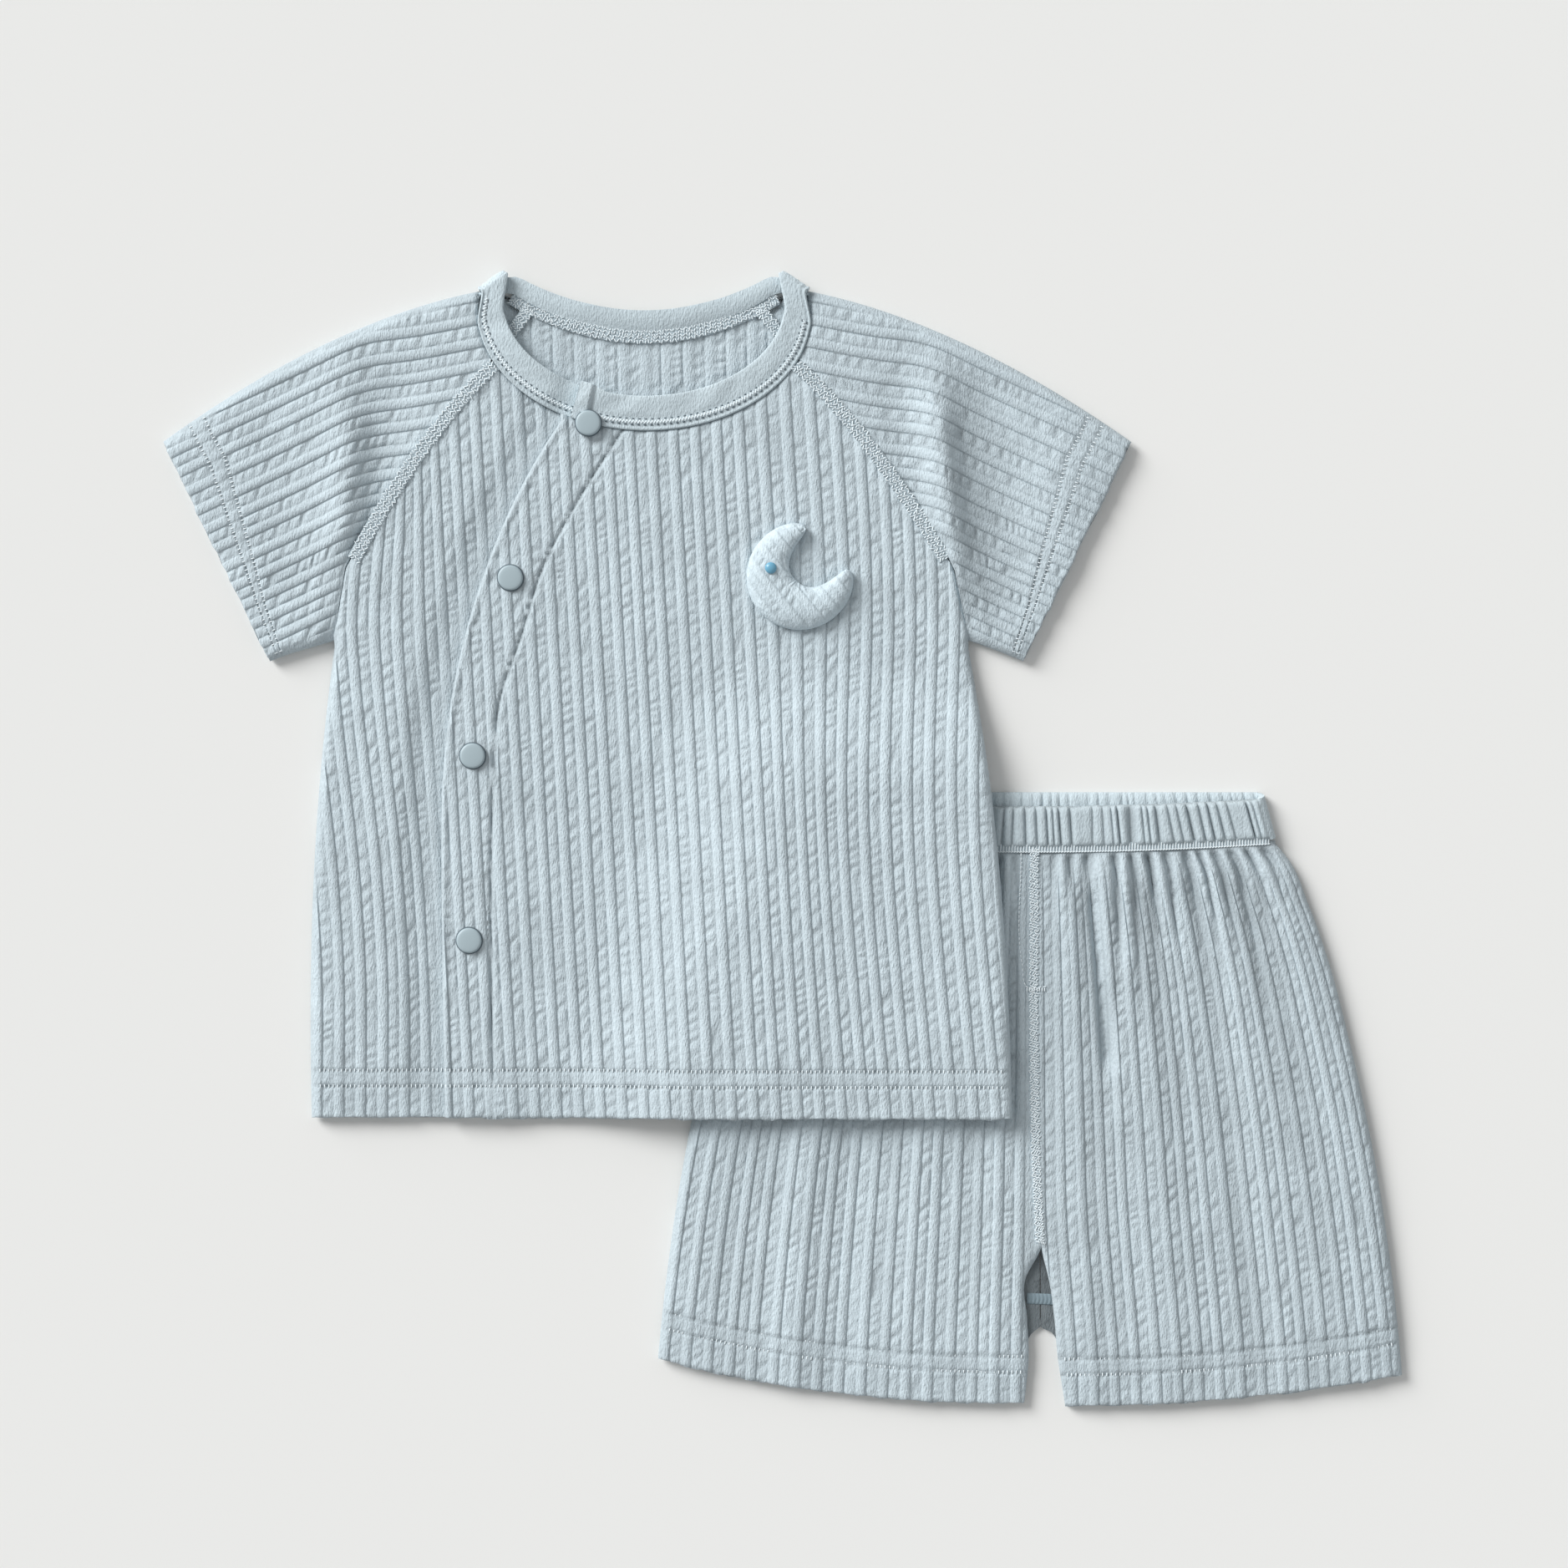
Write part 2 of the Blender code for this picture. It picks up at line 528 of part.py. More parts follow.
def sleeve(name, side, material):
    """A sleeve: one piece, folded along the shoulder and sewn under the arm, so a flattened tube."""
    depth = SHOULDER[1] - ARMHOLE_LOW_Y
    seam_turns = [SLEEVE_RIBS * (SHOULDER[1] - y) / depth for y in (325, 320, 314, 307, RAGLAN_Y, UNDERARM_Y)]
    folds = (0.04, 0.16, SLEEVE_RIBS - 0.16, SLEEVE_RIBS - 0.04)
    across = rib_columns(0.0, float(SLEEVE_RIBS), (*folds, *seam_turns)) / SLEEVE_RIBS
    sections = np.array([0, 0.12, 0.25, 0.38, 0.52, 0.66, 0.83, 1])
    below = np.array([0.997, 0.985, 0.96, 0.9, 0.78, 0.6, 0.4, 0.25, 0.16, 0.08, 0.04, 0.015, 0.003])

    def ring(over, under, inset):
        t = np.concatenate([over, under])
        t, s = np.meshgrid(t, sections)
        n = len(over)
        x, y = np.empty(t.shape), np.empty(t.shape)
        x[:, :n], y[:, :n] = sleeve_plan(side, "front", s[:, :n], t[:, :n])
        x[:, n:], y[:, n:] = sleeve_plan(side, "back", s[:, n:], t[:, n:])
        ends = [sleeve_plan(side, "front", sections, np.full(len(sections), e)) for e in (0.0, 1.0)]
        width = np.hypot(ends[1][0] - ends[0][0], ends[1][1] - ends[0][1])[:, None]
        depth = np.minimum(t, 1 - t) * width
        shape = rounded(depth - inset, EDGE_RADIUS - inset)
        upper = sleeve_top(side, s, t, x, y) - inset
        if not inset:
            upper = upper + RIB_HEIGHT * rib(t * SLEEVE_RIBS) * smooth(depth / 4)
        height = np.where(
            np.arange(t.shape[1]) < n,
            SEAM_HEIGHT + (upper - SEAM_HEIGHT) * shape,
            SEAM_HEIGHT - (SEAM_HEIGHT - inset) * shape,
        )
        return plan_to_world(x, y, height, "top")

    face = ring(across, below, 0.0)
    over = np.array([0.016, 0.03, 0.06, 0.2, 0.3, 0.4, 0.5, 0.6, 0.7, 0.8, 0.94, 0.97, 0.984])
    under = over[::-1].copy()
    lining = ring(over, under, WALL)
    places = (sections, np.append(across, 2 - below), sections, np.append(over, 2 - under))
    return wall(name, face, lining, places, material, ring=True)


def band_edges():
    """The neckband's seam edge and free edge, as two rows of points from its under end to its over end."""

    def front(x_seam, mirror, z_seam, z_free):
        k = x_seam / (NECK_HALF - GAP)
        seam = (mirror * x_seam, NECK_CENTRE_Y - (NECK_DROP - GAP) * math.sqrt(1 - k * k), z_seam)
        free = (mirror * FREE_HALF * k, FREE_CENTRE_Y - FREE_DROP * math.sqrt(1 - k * k), z_free)
        return seam, free

    def fold(mirror, turn):
        out, z = FOLD_RADIUS * math.sin(turn), 4.8 + FOLD_RADIUS * math.cos(turn)
        dx, dy = FOLD_OUTWARD[0] * out, FOLD_OUTWARD[1] * out
        return tuple((mirror * (x + dx), y + dy, z) for x, y in (FOLD_SEAM, FOLD_FREE))

    def back(x):
        k = abs(x) / BACK_NECK_SPAN
        z = 2.2 + 0.6 * smooth((abs(x) - 24) / 20)
        z_free = 2.6 + BACK_LIFT * smooth((BACK_NECK_SPAN - 1 - abs(x)) / 30)
        seam_y = BACK_NECK_Y + GAP + BACK_NECK_RISE * (1.07 * k) ** 2
        return (x * 1.07, seam_y, z), (x, FREE_BACK_Y + FREE_BACK_RISE * k * k, z_free)

    turns = [math.pi * k / 6 for k in range(7)]
    spread = [math.sin(math.radians(a)) * NECK_HALF * 0.995 for a in range(11, 85, 7)]
    under = []
    for x in spread:
        rise = smooth((x - 31) / 14)
        under.append(front(x, -1, 3.2 + 2.2 * rise, 3.6 + 3.2 * rise))
    over_x = [-30, -25, -18, -11, -4, 3] + [x for x in spread]
    over = []
    for x in over_x[::-1]:
        rise = 1 - smooth((x + 26) / 22)
        over.append(front(abs(x), 1 if x > 0 else -1, 5.4 + 0.6 * rise, 6.6 + 0.6 * rise))
    shoulder = [front(66.1, m, 5.8, 6.9) for m in (-1, 1)]
    rear = [back(x) for x in (-50, -43, -35, -26, -13, 0, 13, 26, 35, 43, 50)]
    path = under + [shoulder[0]] + [fold(-1, a) for a in turns] + rear
    path += [fold(1, a) for a in turns[::-1]] + [shoulder[1]] + over
    return np.array(path).transpose(1, 0, 2)


def neckband(material):
    seam, free = band_edges()
    across = np.array([0, 0.16, 0.84, 1])
    middle = seam[None] + (free - seam)[None] * across[:, None, None]
    along = np.gradient(middle, axis=1)
    up = np.gradient(middle, axis=0)
    normal = np.cross(up, along)
    normal /= np.linalg.norm(normal, axis=-1, keepdims=True)
    half = BAND_THICK / 2 * np.array([0.62, 0.95, 1.0, 0.7])[:, None, None]
    places = np.arange(middle.shape[1])

    def placed(p):
        return plan_to_world(p[..., 0], p[..., 1], p[..., 2], "top")

    face, lining = placed(middle + normal * half), placed(middle - normal * half)
    return wall("neckband", face, lining, (across, places, across, places), material)


def dome(name, centre, diameter, height, foot, material, frame="top"):
    """A turned cap with a flat underside and a soft rim."""
    radius = diameter / 2
    profile = [(0.0, 1.0), (0.55, 0.94), (0.86, 0.7), (1.0, 0.3), (0.96, 0.0)]
    steps = 18
    x, y = centre
    points = [(x, y, foot + height)]
    for share, level in profile[1:]:
        for k in range(steps):
            a = 2 * math.pi * k / steps
            out = share * radius
            points.append((x + out * math.cos(a), y + out * math.sin(a), foot + level * height))
    faces = [(0, 1 + k, 1 + (k + 1) % steps) for k in range(steps)]
    for ring in range(len(profile) - 2):
        a = 1 + ring * steps
        for k in range(steps):
            n = (k + 1) % steps
            faces.append((a + k, a + steps + k, a + steps + n, a + n))
    last = 1 + (len(profile) - 2) * steps
    faces.append(tuple(last + k for k in range(steps))[::-1])
    p = np.array(points)
    return solid(name, plan_to_world(p[:, 0], p[:, 1], p[:, 2], frame) * MM, faces, material)


def left_surface(x, y):
    """Height of the left front's rib tops above the surface below."""
    q = body_q(x)
    return left_inner(q, y) + WALL + RIB_HEIGHT + top_floor(x, y)


def snaps(material):
    for place, (x, y) in SNAPS.items():
        ring = np.radians(np.arange(0, 360, 30))
        around = left_surface(x + SNAP_DIAMETER / 2 * np.cos(ring), y + SNAP_DIAMETER / 2 * np.sin(ring))
        foot = NECK_SNAP_FOOT if place == "neck" else float(around.max()) + GAP
        dome("snap_" + place, (x, y), SNAP_DIAMETER, SNAP_HEIGHT, foot, material)


def moon(material):
    """The padded crescent: a middle line that opens towards the upper right, and a half width along it."""
    along = np.sin(np.linspace(-math.pi / 2, math.pi / 2, 19))
    across = np.array([-1, -0.9, -0.6, 0, 0.6, 0.9, 1])
    v, k = np.meshgrid(across, along)
    angle = np.radians(225 + MOON_SWEEP * k)
    far = np.abs(k)
    spine = MOON_SPINE[0] + (MOON_SPINE[1] - MOON_SPINE[0]) * far**3
    widest, horn = MOON_HALF_WIDTH
    half = (widest + (horn - widest) * far**2.3) * np.sqrt(1.001 - far**14)
    x = MOON_CENTRE[0] + (spine + half * v) * np.cos(angle)
    y = MOON_CENTRE[1] + (spine + half * v) * np.sin(angle)
    foot = left_surface(x, y) + GAP
    puff = MOON_HEIGHT * np.sqrt(np.clip(1 - np.abs(v) ** 2.4, 0, 1)) * (0.6 + 0.4 * half / widest)
    face = plan_to_world(x, y, foot + MOON_RIM + puff, "top")
    lining = plan_to_world(x, y, foot, "top")
    return wall("moon", face, lining, (along, across, along, across), material)


def moon_dot(material):
    x, y = MOON_CENTRE[0] + DOT_AT[0], MOON_CENTRE[1] + DOT_AT[1]
    foot = float(left_surface(x, y)) + GAP + MOON_RIM + MOON_HEIGHT + 0.1
    return dome("moon_dot", (x, y), DOT_DIAMETER, DOT_HEIGHT, foot, material)


def inseam_x(which, y):
    return np.interp(y, INSEAM_CURVE["y"], INSEAM_CURVE[which])


def band_front_y(x):
    """Upper edge of the waistband's front."""
    far = np.clip(np.abs(x - WAIST_SHIFT) / WAIST_HALF, 0, 1)
    return WAIST_Y - WAIST_STEP[0] - WAIST_STEP[1] * (1 - far**2)


def leg_plan(side, layer, w, f):
    """A point of the shorts: w from the middle seam to the side, f from the leg's hem to the waist."""
    which = {1: "left", -1: "right"}[side]
    which = "back_" + which if layer == "back" else which
    low = LEG_HEM[side][0] + LEG_HEM[side][1] * w**2.2
    waist = WAIST_Y - BAND_HEIGHT - GAP - 4.0 * smooth((w - 0.92) / 0.05)
    if layer == "front":
        waist = band_front_y(side * w * WAIST_HALF) - BAND_HEIGHT - GAP
    y = low + (waist - low) * f
    side_edge = side * side_x(y) + (0 if side == 1 else 2 * WAIST_SHIFT)
    middle = inseam_x(which, y)
    return middle + (side_edge - middle) * w, y


def leg_front_inner(side, w, f, x, y):
    hem = (SHORTS_GAP - HEM_GAP) * (1 - smooth(f * 9))
    seam = 0.7 * np.exp(-((w * 12) ** 2))
    return WALL + SHORTS_GAP - hem - seam + fold_height(x, y, SHORTS_FOLDS) * smooth(w * 6)


def gather(side, w, f):
    """How deep the gathers stand at a point: deepest at the waistband, gone a third of the way down."""
    uneven = 0.75 + 0.25 * np.sin(2.3 * w * SHORTS_RIBS + side)
    return uneven * np.exp(-((1 - f) * LEG_LENGTH / GATHER_LENGTH) ** 1.3 * 2)


def leg_front(name, side, material):
    columns = rib_columns(0.0, float(SHORTS_RIBS), (16.6, 16.88, 16.96)) / SHORTS_RIBS
    rows = np.array([0, 0.05, 0.13, 0.21, 0.24, 0.29, 0.44, 0.6, 0.74, 0.86, 0.94, 1])

    def sheet(w, lift, inset):
        w, f = np.meshgrid(w, rows)
        x, y = leg_plan(side, "front", w, f)
        depth = (1 - w) * LEG_WIDTH
        height = leg_front_inner(side, w, f, x, y) + lift
        low = SEAM_HEIGHT + GAP / 2
        height = low + (height - low) * rounded(depth - inset, EDGE_RADIUS - inset)
        if lift:
            depth_of_gather = GATHER * gather(side, w, f)
            ribs = RIB_HEIGHT + (1 - VALLEY_SHARE) * depth_of_gather
            valleys = VALLEY_SHARE * depth_of_gather * smooth(depth / 8)
            height = height + ribs * rib(w * SHORTS_RIBS) * smooth(depth / 3) - valleys
        return plan_to_world(x, y, height, "shorts")

    plain = [0, 0.04, 0.1, 0.15, 0.2, 0.3, 0.4, 0.5, 0.6, 0.7, 0.8, 0.9, 0.96, 0.975]
    plain = np.array([*plain, 1 - WALL / LEG_WIDTH])
    face, lining = sheet(columns, WALL, 0.0), sheet(plain, 0.0, WALL)
    return wall(name, face, lining, (rows, columns, rows, plain), material)


def leg_back(name, side, material):
    columns = np.array([0, 0.2, 0.4, 0.6, 0.8, 0.92, 0.965, 0.98, 0.995, 1])
    rows = np.array([0, 0.05, 0.1, 0.128, 0.155, 0.24, 0.29, 0.44, 0.6, 0.74, 0.86, 0.94, 1])

    def sheet(w, lift, inset):
        w, f = np.meshgrid(w, rows)
        x, y = leg_plan(side, "back", w, f)
        seam = SEAM_HEIGHT - GAP / 2
        height = seam - (seam - lift) * rounded((1 - w) * LEG_WIDTH - inset, EDGE_RADIUS - inset)
        return plan_to_world(x, y, height, "shorts")

    inner = np.array([0, 0.2, 0.4, 0.6, 0.8, 0.92, 0.955, 0.97, 0.984, 1 - WALL / LEG_WIDTH])
    face, lining = sheet(inner, WALL, WALL), sheet(columns, 0.0, 0.0)
    return wall(name, face, lining, (rows, inner, rows, columns), material)


def pleat(phase):
    """A rounded wave, 1 on a pleat and 0 in the fold beside it."""
    return 0.5 - 0.5 * np.cos(2 * math.pi * phase)


def waistband(material):
    """The elastic waistband: a ring pressed flat, gathered into pleats that run up and down."""
    thick = 2.4
    front_top, front_inner, back_inner = 6.2, 3.7, thick
    across = np.linspace(-1, 1, WAIST_PLEATS * 3 + 1)
    plain_across = np.linspace(-1, 1, 12)
    turn = np.radians([30, 60, 90, 120, 150])
    rows = np.array([0, 0.14, 0.86, 1])
    full = np.array([0.4, 1, 1, 0.4])[:, None]

    def placed(k, z, out, share_back):
        """k runs across the band, out goes past its end in a turn, share_back goes from front to back."""
        k, f = np.meshgrid(k, rows)
        flare = 1 + WAIST_FLARE * (1 - f)
        x = WAIST_SHIFT + k * (WAIST_HALF - 3.1) * flare + np.sign(k) * out[None]
        front = band_front_y(x) - BAND_HEIGHT * (1 - f)
        back = WAIST_Y - BAND_HEIGHT * (1 - f)
        y = front + (back - front) * share_back[None]
        return plan_to_world(x, y, np.broadcast_to(z, x.shape), "shorts")

    def ring(across, top, bottom, wave_top):
        radius, middle = (top - bottom) / 2, (top + bottom) / 2
        n, none = len(across), np.zeros(len(across))
        waves = pleat(np.linspace(0, WAIST_PLEATS, n)) * full
        one, drop, out = np.ones(len(turn)), radius * np.cos(turn)[None], radius * np.sin(turn)
        parts = [
            placed(across, top + wave_top * waves, none, none),
            placed(one, middle + drop, out, smooth(turn / math.pi)),
            placed(across[::-1], np.full(n, bottom), none, none + 1),
            placed(-one, middle - drop, out, 1 - smooth(turn / math.pi)),
        ]
        places = np.concatenate([across, 1 + turn / 10, 3 - across[::-1], 5 + turn / 10])
        return np.concatenate(parts, axis=1), places

    face, at_face = ring(across, front_top, 0.0, PLEAT)
    lining, at_lining = ring(plain_across, front_inner, back_inner, 0.0)
    at_lining = np.sort(at_lining)
    at_face = np.sort(at_face)
    return wall("waistband", face, lining, (rows, at_face, rows, at_lining), material, ring=True)


def clear_scene():
    for obj in list(bpy.data.objects):
        bpy.data.objects.remove(obj)


def main():
    clear_scene()
    cloth = paint("puckered_knit", (0.47, 0.55, 0.59), 0.9)
    band = paint("neckband_knit", (0.46, 0.54, 0.58), 0.9)
    cap = paint("snap_cap", (0.35, 0.43, 0.46), 0.45)
    bead = paint("blue_bead", (0.17, 0.38, 0.51), 0.35)

    top_back(cloth)
    under_edge = WRAP_X + WRAP_UNDER
    front_panel(
        "front_right", -HEM_HALF, WRAP_TOP_X + WRAP_UNDER - 3.5, right_foot_y, front_top_y, right_inner, -1,
        lambda q, y: wrap_edge_q(y) - 7 - q, (under_edge, under_edge + 0.7, under_edge + 2.5), cloth,
    )
    front_panel(
        "front_left", WRAP_X, HEM_HALF, lambda q: 0.0 * q, left_top_y, left_inner, 1,
        lambda q, y: q - wrap_edge_q(y), (WRAP_X + 1, WRAP_X + 3, WRAP_TOP_X), cloth,
    )
    sleeve("sleeve_right", -1, cloth)
    sleeve("sleeve_left", 1, cloth)
    neckband(band)
    snaps(cap)
    moon(cloth)
    moon_dot(bead)
    for side, which in ((1, "left"), (-1, "right")):
        leg_back("shorts_back_" + which, side, cloth)
        leg_front("shorts_front_" + which, side, cloth)
    waistband(band)


main()
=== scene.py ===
"""Fine cloth, sewing, materials, light and camera for a baby's wrap top and gathered shorts laid flat.

Sizes are in millimetres in two plan frames: the top's, whose origin is the middle of its hem, and the
shorts', whose origin is the foot of the centre-front seam. Left and right are the wearer's.
"""

import math

import bmesh
import bpy
import numpy as np
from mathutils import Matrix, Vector
from mathutils.geometry import delaunay_2d_cdt


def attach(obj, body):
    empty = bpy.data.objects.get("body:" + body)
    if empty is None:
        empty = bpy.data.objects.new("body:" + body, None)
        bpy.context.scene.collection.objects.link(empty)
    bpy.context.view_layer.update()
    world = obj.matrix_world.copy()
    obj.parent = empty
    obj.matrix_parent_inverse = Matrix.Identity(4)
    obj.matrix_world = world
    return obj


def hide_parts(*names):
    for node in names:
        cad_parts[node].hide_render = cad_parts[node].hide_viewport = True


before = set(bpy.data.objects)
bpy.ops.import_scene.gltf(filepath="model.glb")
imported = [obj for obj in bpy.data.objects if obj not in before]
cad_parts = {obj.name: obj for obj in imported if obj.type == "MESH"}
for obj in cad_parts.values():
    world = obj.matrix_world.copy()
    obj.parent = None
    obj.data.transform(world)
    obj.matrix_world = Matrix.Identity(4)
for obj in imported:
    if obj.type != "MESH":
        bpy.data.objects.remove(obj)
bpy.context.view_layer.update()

MM = 0.001
GAP = 0.3
SIDES = ((1, "left"), (-1, "right"))
TOP_AT, SHORTS_AT, TOP_LEAN = (-48.84, -111.0), (99.0, -225.8), 0.021

# The cloth: smooth raised ribs with a puckered band beside each.
WALL = 1.4
ROW = 0.8  # of a fine face, along its ribs
RIB_HEIGHT = 0.6
RIB_END, RIB_RISE, RIB_FALL = 0.51, 0.09, 0.06  # shares of a pitch: where the rib ends, and its two slopes
COLUMNS = (0, 0.045, 0.09, 0.27, 0.45, 0.48, 0.51, 0.6, 0.7, 0.8, 0.9)
PUCKER, PUCKER_DEEP, PUCKER_LENGTH, PUCKER_SLANT = 0.98, 0.3, 5.6, 2.4
PUCKER_FALL, PUCKER_STRAY = (3.4, 1.5), 2.4  # how sharp a crease is on either side, and how far creases stray
SLANT_WAVE, STRAY_WAVE, STRENGTH_WAVE = 12, 14, 30  # how slowly the puckers change along a rib
EDGE_RADIUS, SEAM_HEIGHT = 5.0, 2.8
RIM_DROP, LINING_EDGE = 0.35, 2  # a lining's rim below the face, and its inner points from the rim
PAINTED_SHADE_STRENGTH, PAINTED_SHADE_DEPTH = 0.22, 0.85  # painted shade: how much darker the colour is made where cloth lies lowest, and how low that is

# The top.
HEM_HALF, BODY_TAPER, TAPER_POWER, UNDERARM_Y, BODY_RIBS = 139.2, 19.0, 2.3, 220.0, 32
PITCH = 2 * HEM_HALF / BODY_RIBS
TOP_GAP, HEM_GAP, HEM_DEPTH = 2.8, 1.8, 25.0
NECK_CENTRE_Y, NECK_HALF, NECK_DROP = 320.0, 66.5, 47.0
BACK_NECK_Z, BACK_SEAM_Z, RAGLAN_SEAM_ABOVE = 2.7, 2.9, 0.7
TUCKED, DIVE = -1.0, 2.1  # how far cloth runs in under the neckband, and how deep it dips there
RAGLAN_X, RAGLAN_Y, RAGLAN_SLOPE, RAGLAN_BEND = 60.0, 301.0, 0.917, 0.00722
BACK_NECK_Y, BACK_NECK_RISE, BACK_NECK_SPAN, BACK_RAGLAN_X = 312.3, 16.0, 54.0, 45.0
WRAP_X, WRAP_TOP_X, WRAP_TOP_Y, WRAP_STRAIGHT_Y, WRAP_POWER = -86.0, -34.5, 277.0, 112.0, 2.3
WRAP_UNDER, UNDER_GAP = 18.0, 1.0
OVERLAP, OVERLAP_Y, OVERLAP_EASE = 1.3, (186, 238), (8, 14)  # of a front over the sleeve at the underarm
SHOULDER, ARMHOLE_LOW_Y, CUFF_TOP, CUFF_LOW_Y = (66.8, 329.0), 190.0, (192.8, 269.0), 181.6
CUFF_LOW_X = {-1: 152.0, 1: 148.0}
SLEEVE_RIBS, SLEEVE_HEIGHT, SLEEVE_ACROSS, UNDERARM_SHORTER = 15, 5.7, 95, 48
SLEEVE_PITCH, SLEEVE_BEND_X = 9.2, 118.0
SLEEVE_NECK = 0.2  # share of a sleeve's armhole that lies at the neck
# The last pair is painted shade on the wearer's left sleeve: a share all over, and a share on the slope beside
# its fold.
SLEEVE_PUCKER, SLEEVE_SLANT, SLEEVE_PAINTED_SHADE = 1.25, 0.9, (0.1, 0.75)
DRAPE = {1: ((120.5, 206), (115, 296), 2.6, 10), -1: ((120.5, 206), (121.5, 300), 2.0, 13)}
DRAPE_RIDGE = {1: 3.4, -1: 1.4}
BAND_THICK, FREE_HALF, FREE_DROP, FREE_CENTRE_Y = 2.4, 56.0, 38.0, 325.0
FREE_BACK_Y, FREE_BACK_RISE, FOLD_RADIUS = 321.3, 15.4, 2.2
TAB_AT = 52.8  # station of the neckband where its folded over-end starts
FOLD_SEAM, FOLD_FREE, FOLD_OUTWARD = (64.4, 327.3), (53.8, 334.5), (0.52, 0.854)
SNAP_DIAMETER, SNAP_HEIGHT, SNAP_SHADOW_RIM, NECK_SNAP_Z = 10.0, 1.9, 0.9, 8.2
SNAPS = {"neck": (-23.0, 276.0), "chest": (-55.3, 214.7), "waist": (-71.8, 144.0), "hem": (-74.7, 70.7)}
MOON_CENTRE, MOON_SPINE, MOON_HALF_WIDTH = (59.4, 214.9), (11.4, 19.0), (9.7, 4.0)
MOON_SWEEP, MOON_HEIGHT, DOT_AT, DOT_DIAMETER = 144.0, 5.0, (-11.2, 3.4), 4.6
MOON_GRID, MOON_PITCH, MOON_RIB_TURN = (170, 52), 7.2, math.radians(38)

# The shorts.
SHORTS_RIBS, SHORTS_GAP, WAIST_Y, WAIST_HALF, WAIST_SHIFT, WAIST_FLARE = 17, 2.8, 244.3, 93.5, -1.3, 0.05
BAND_HEIGHT, WAIST_STEP, WAIST_PLEATS, PLEAT, GATHER, GATHER_LENGTH = 16.5, (2.4, 3.1), 44, 2.1, 2.0, 60.0
# The second pair is painted shade on the waistband's face: a share all over, and more in the pleats' creases.
PLEAT_FALL, PLEAT_PAINTED_SHADE, BACK_PLEAT = (1.7, 4), (0.35, 1.5), 1.1
WAIST_TOP, WAIST_HOLLOW = 6.2, 3.7  # heights of the waistband's top, and of the hollow inside its ring
FOLD_DEEP, FOLD_REACH = (3.3, 1.7), (10, 34)  # of a fold under the waistband: the least, and what chance adds
LEAST_FACE, LEAST_LINING, NESTED_Y = 2.3, 1.9, 110  # how low folds may bring a leg's cloth above this height
STRIP, WAIST_SEAM_Z = 3.8, 5.3  # the stitched strip at the waistband's foot
CENTRE_SEAM_Z, FLY_Z, CROTCH_SEAM_Z = 5.3, 5.75, 1.7
CENTRE_SEAM = ((2.9, 65.0), (1.4, 94.0), (0.6, 130.0), (0.5, WAIST_Y - BAND_HEIGHT - 6.0))
CROTCH_SEAM_X, CROTCH_SEAM_Y, CROTCH_SEAM_FALL = (-2.2, 9.6), 42.6, 0.5
LEG_ACROSS, INSEAM_RADIUS, INSEAM_TOP = 130, 3.6, 66
SIDE_Y, SIDE_X = (0, 40, 94, 147, 174, 200, 217, 224), (149.5, 145.8, 138.2, 127, 120, 111, 103.5, 98)
INSEAM = {
    "y": (0, 23, 27, 29.5, 31, 35, 50, 62, 94, 222),
    "left": (13.0, 9.6, 9.3, 9.1, 9.0, 8.6, 6.5, 3.6, 1.6, 0.4),
    "right": (-3.4, -1.6, -1.8, -1.9, -2.0, -2.2, -3.0, 2.9, 1.0, -0.2),
    "back_left": (13.2, 9.9, 9.2, 7.0, 3.4, 3.4, 3.4, 3.2, 1.6, 0.4),
    "back_right": (-3.6, -1.8, -1.4, 0.6, 2.9, 2.9, 2.9, 2.7, 1.0, -0.2),
}
# Painted shadow inside the crotch on the back legs, and painted shade over the whole of the wearer's left front
# leg.
CROTCH_PAINTED_SHADOW, LEFT_LEG_PAINTED_SHADE = 2.9, 0.3
LEG_HEM = {1: (0.0, 12.7), -1: (1.0, 18.0)}
FLY_X, FLY_HALF, FLY_Y, FLY_TOP_Y, FLY_REACH, FLY_ROWS = -0.4, 4.0, 167.0, 219.5, 5, 1.1
LIFT, LIFT_REACH = 8.3, 54.0

# Sewing: stitch rows above an edge, the facing's line on the wrap, and how the ribs sway over the body.
HEM_ROWS = (12.7, 19.0)
STITCH_PITCH, HOLE_PITCH, THREAD = 1.75, 2.5, (1.7, 0.5, 0.45)  # threads: length, width and height
COVER_ABOVE = 0.25  # of a seam's threads over its strip
RAGLAN_COVER, NECK_COVER, BACK_COVER, CENTRE_COVER = (5.4, 2.6), (5.2, 2.5), (4.8, 2.3), (3.6, 1.6)
RAGLAN_SEAM_X, BACK_NECK_SEAM_X, BACK_SEAM_X = (61.0, 118.5), 53.0, (45.5, 52.0, 60.0)
FLY_THREAD, CHAIN_THREAD, HOLE_SIZE = (1.5, 0.42, 0.4), (2.0, 0.42, 0.5), (1.15, 0.75, 0.5)
WAIST_PITCH, WAIST_ABOVE = 1.15, 0.3
WAIST_ROWS = ((0, (3.6, 0.5, 0.55), 86), (STRIP / 2 - 0.4, (1.6, 0.45, 0.5), 20))  # drop, size and turn
BAND_SEWN = ((0.3, 11.7), (37.4, TAB_AT - 0.3))  # stations of the neckband between which stitches show
HOLE_LINES, CHAIN_LINE, CHAIN_PITCH, CHAIN_TURN = (0.17, 0.33), 0.25, 0.62, 32  # lines: shares of its width
FACING_Y = (0, 60, 112, 139, 166, 192, 220, 248, 274)
FACING_X = (-66.8, -66.2, -65.1, -63.6, -60.7, -51.5, -42.0, -26.4, -9.3)
RIB_LEAN = 0.034
SWAY_RIGHT = ((0, 60, 90, 175, 190, 260, 330), (0, -3.3, -3.2, 1.2, 1.5, -7, -7))
SWAY_LEFT = ((0, 130, 200, 330), (0, 2, -3.5, -3.5))

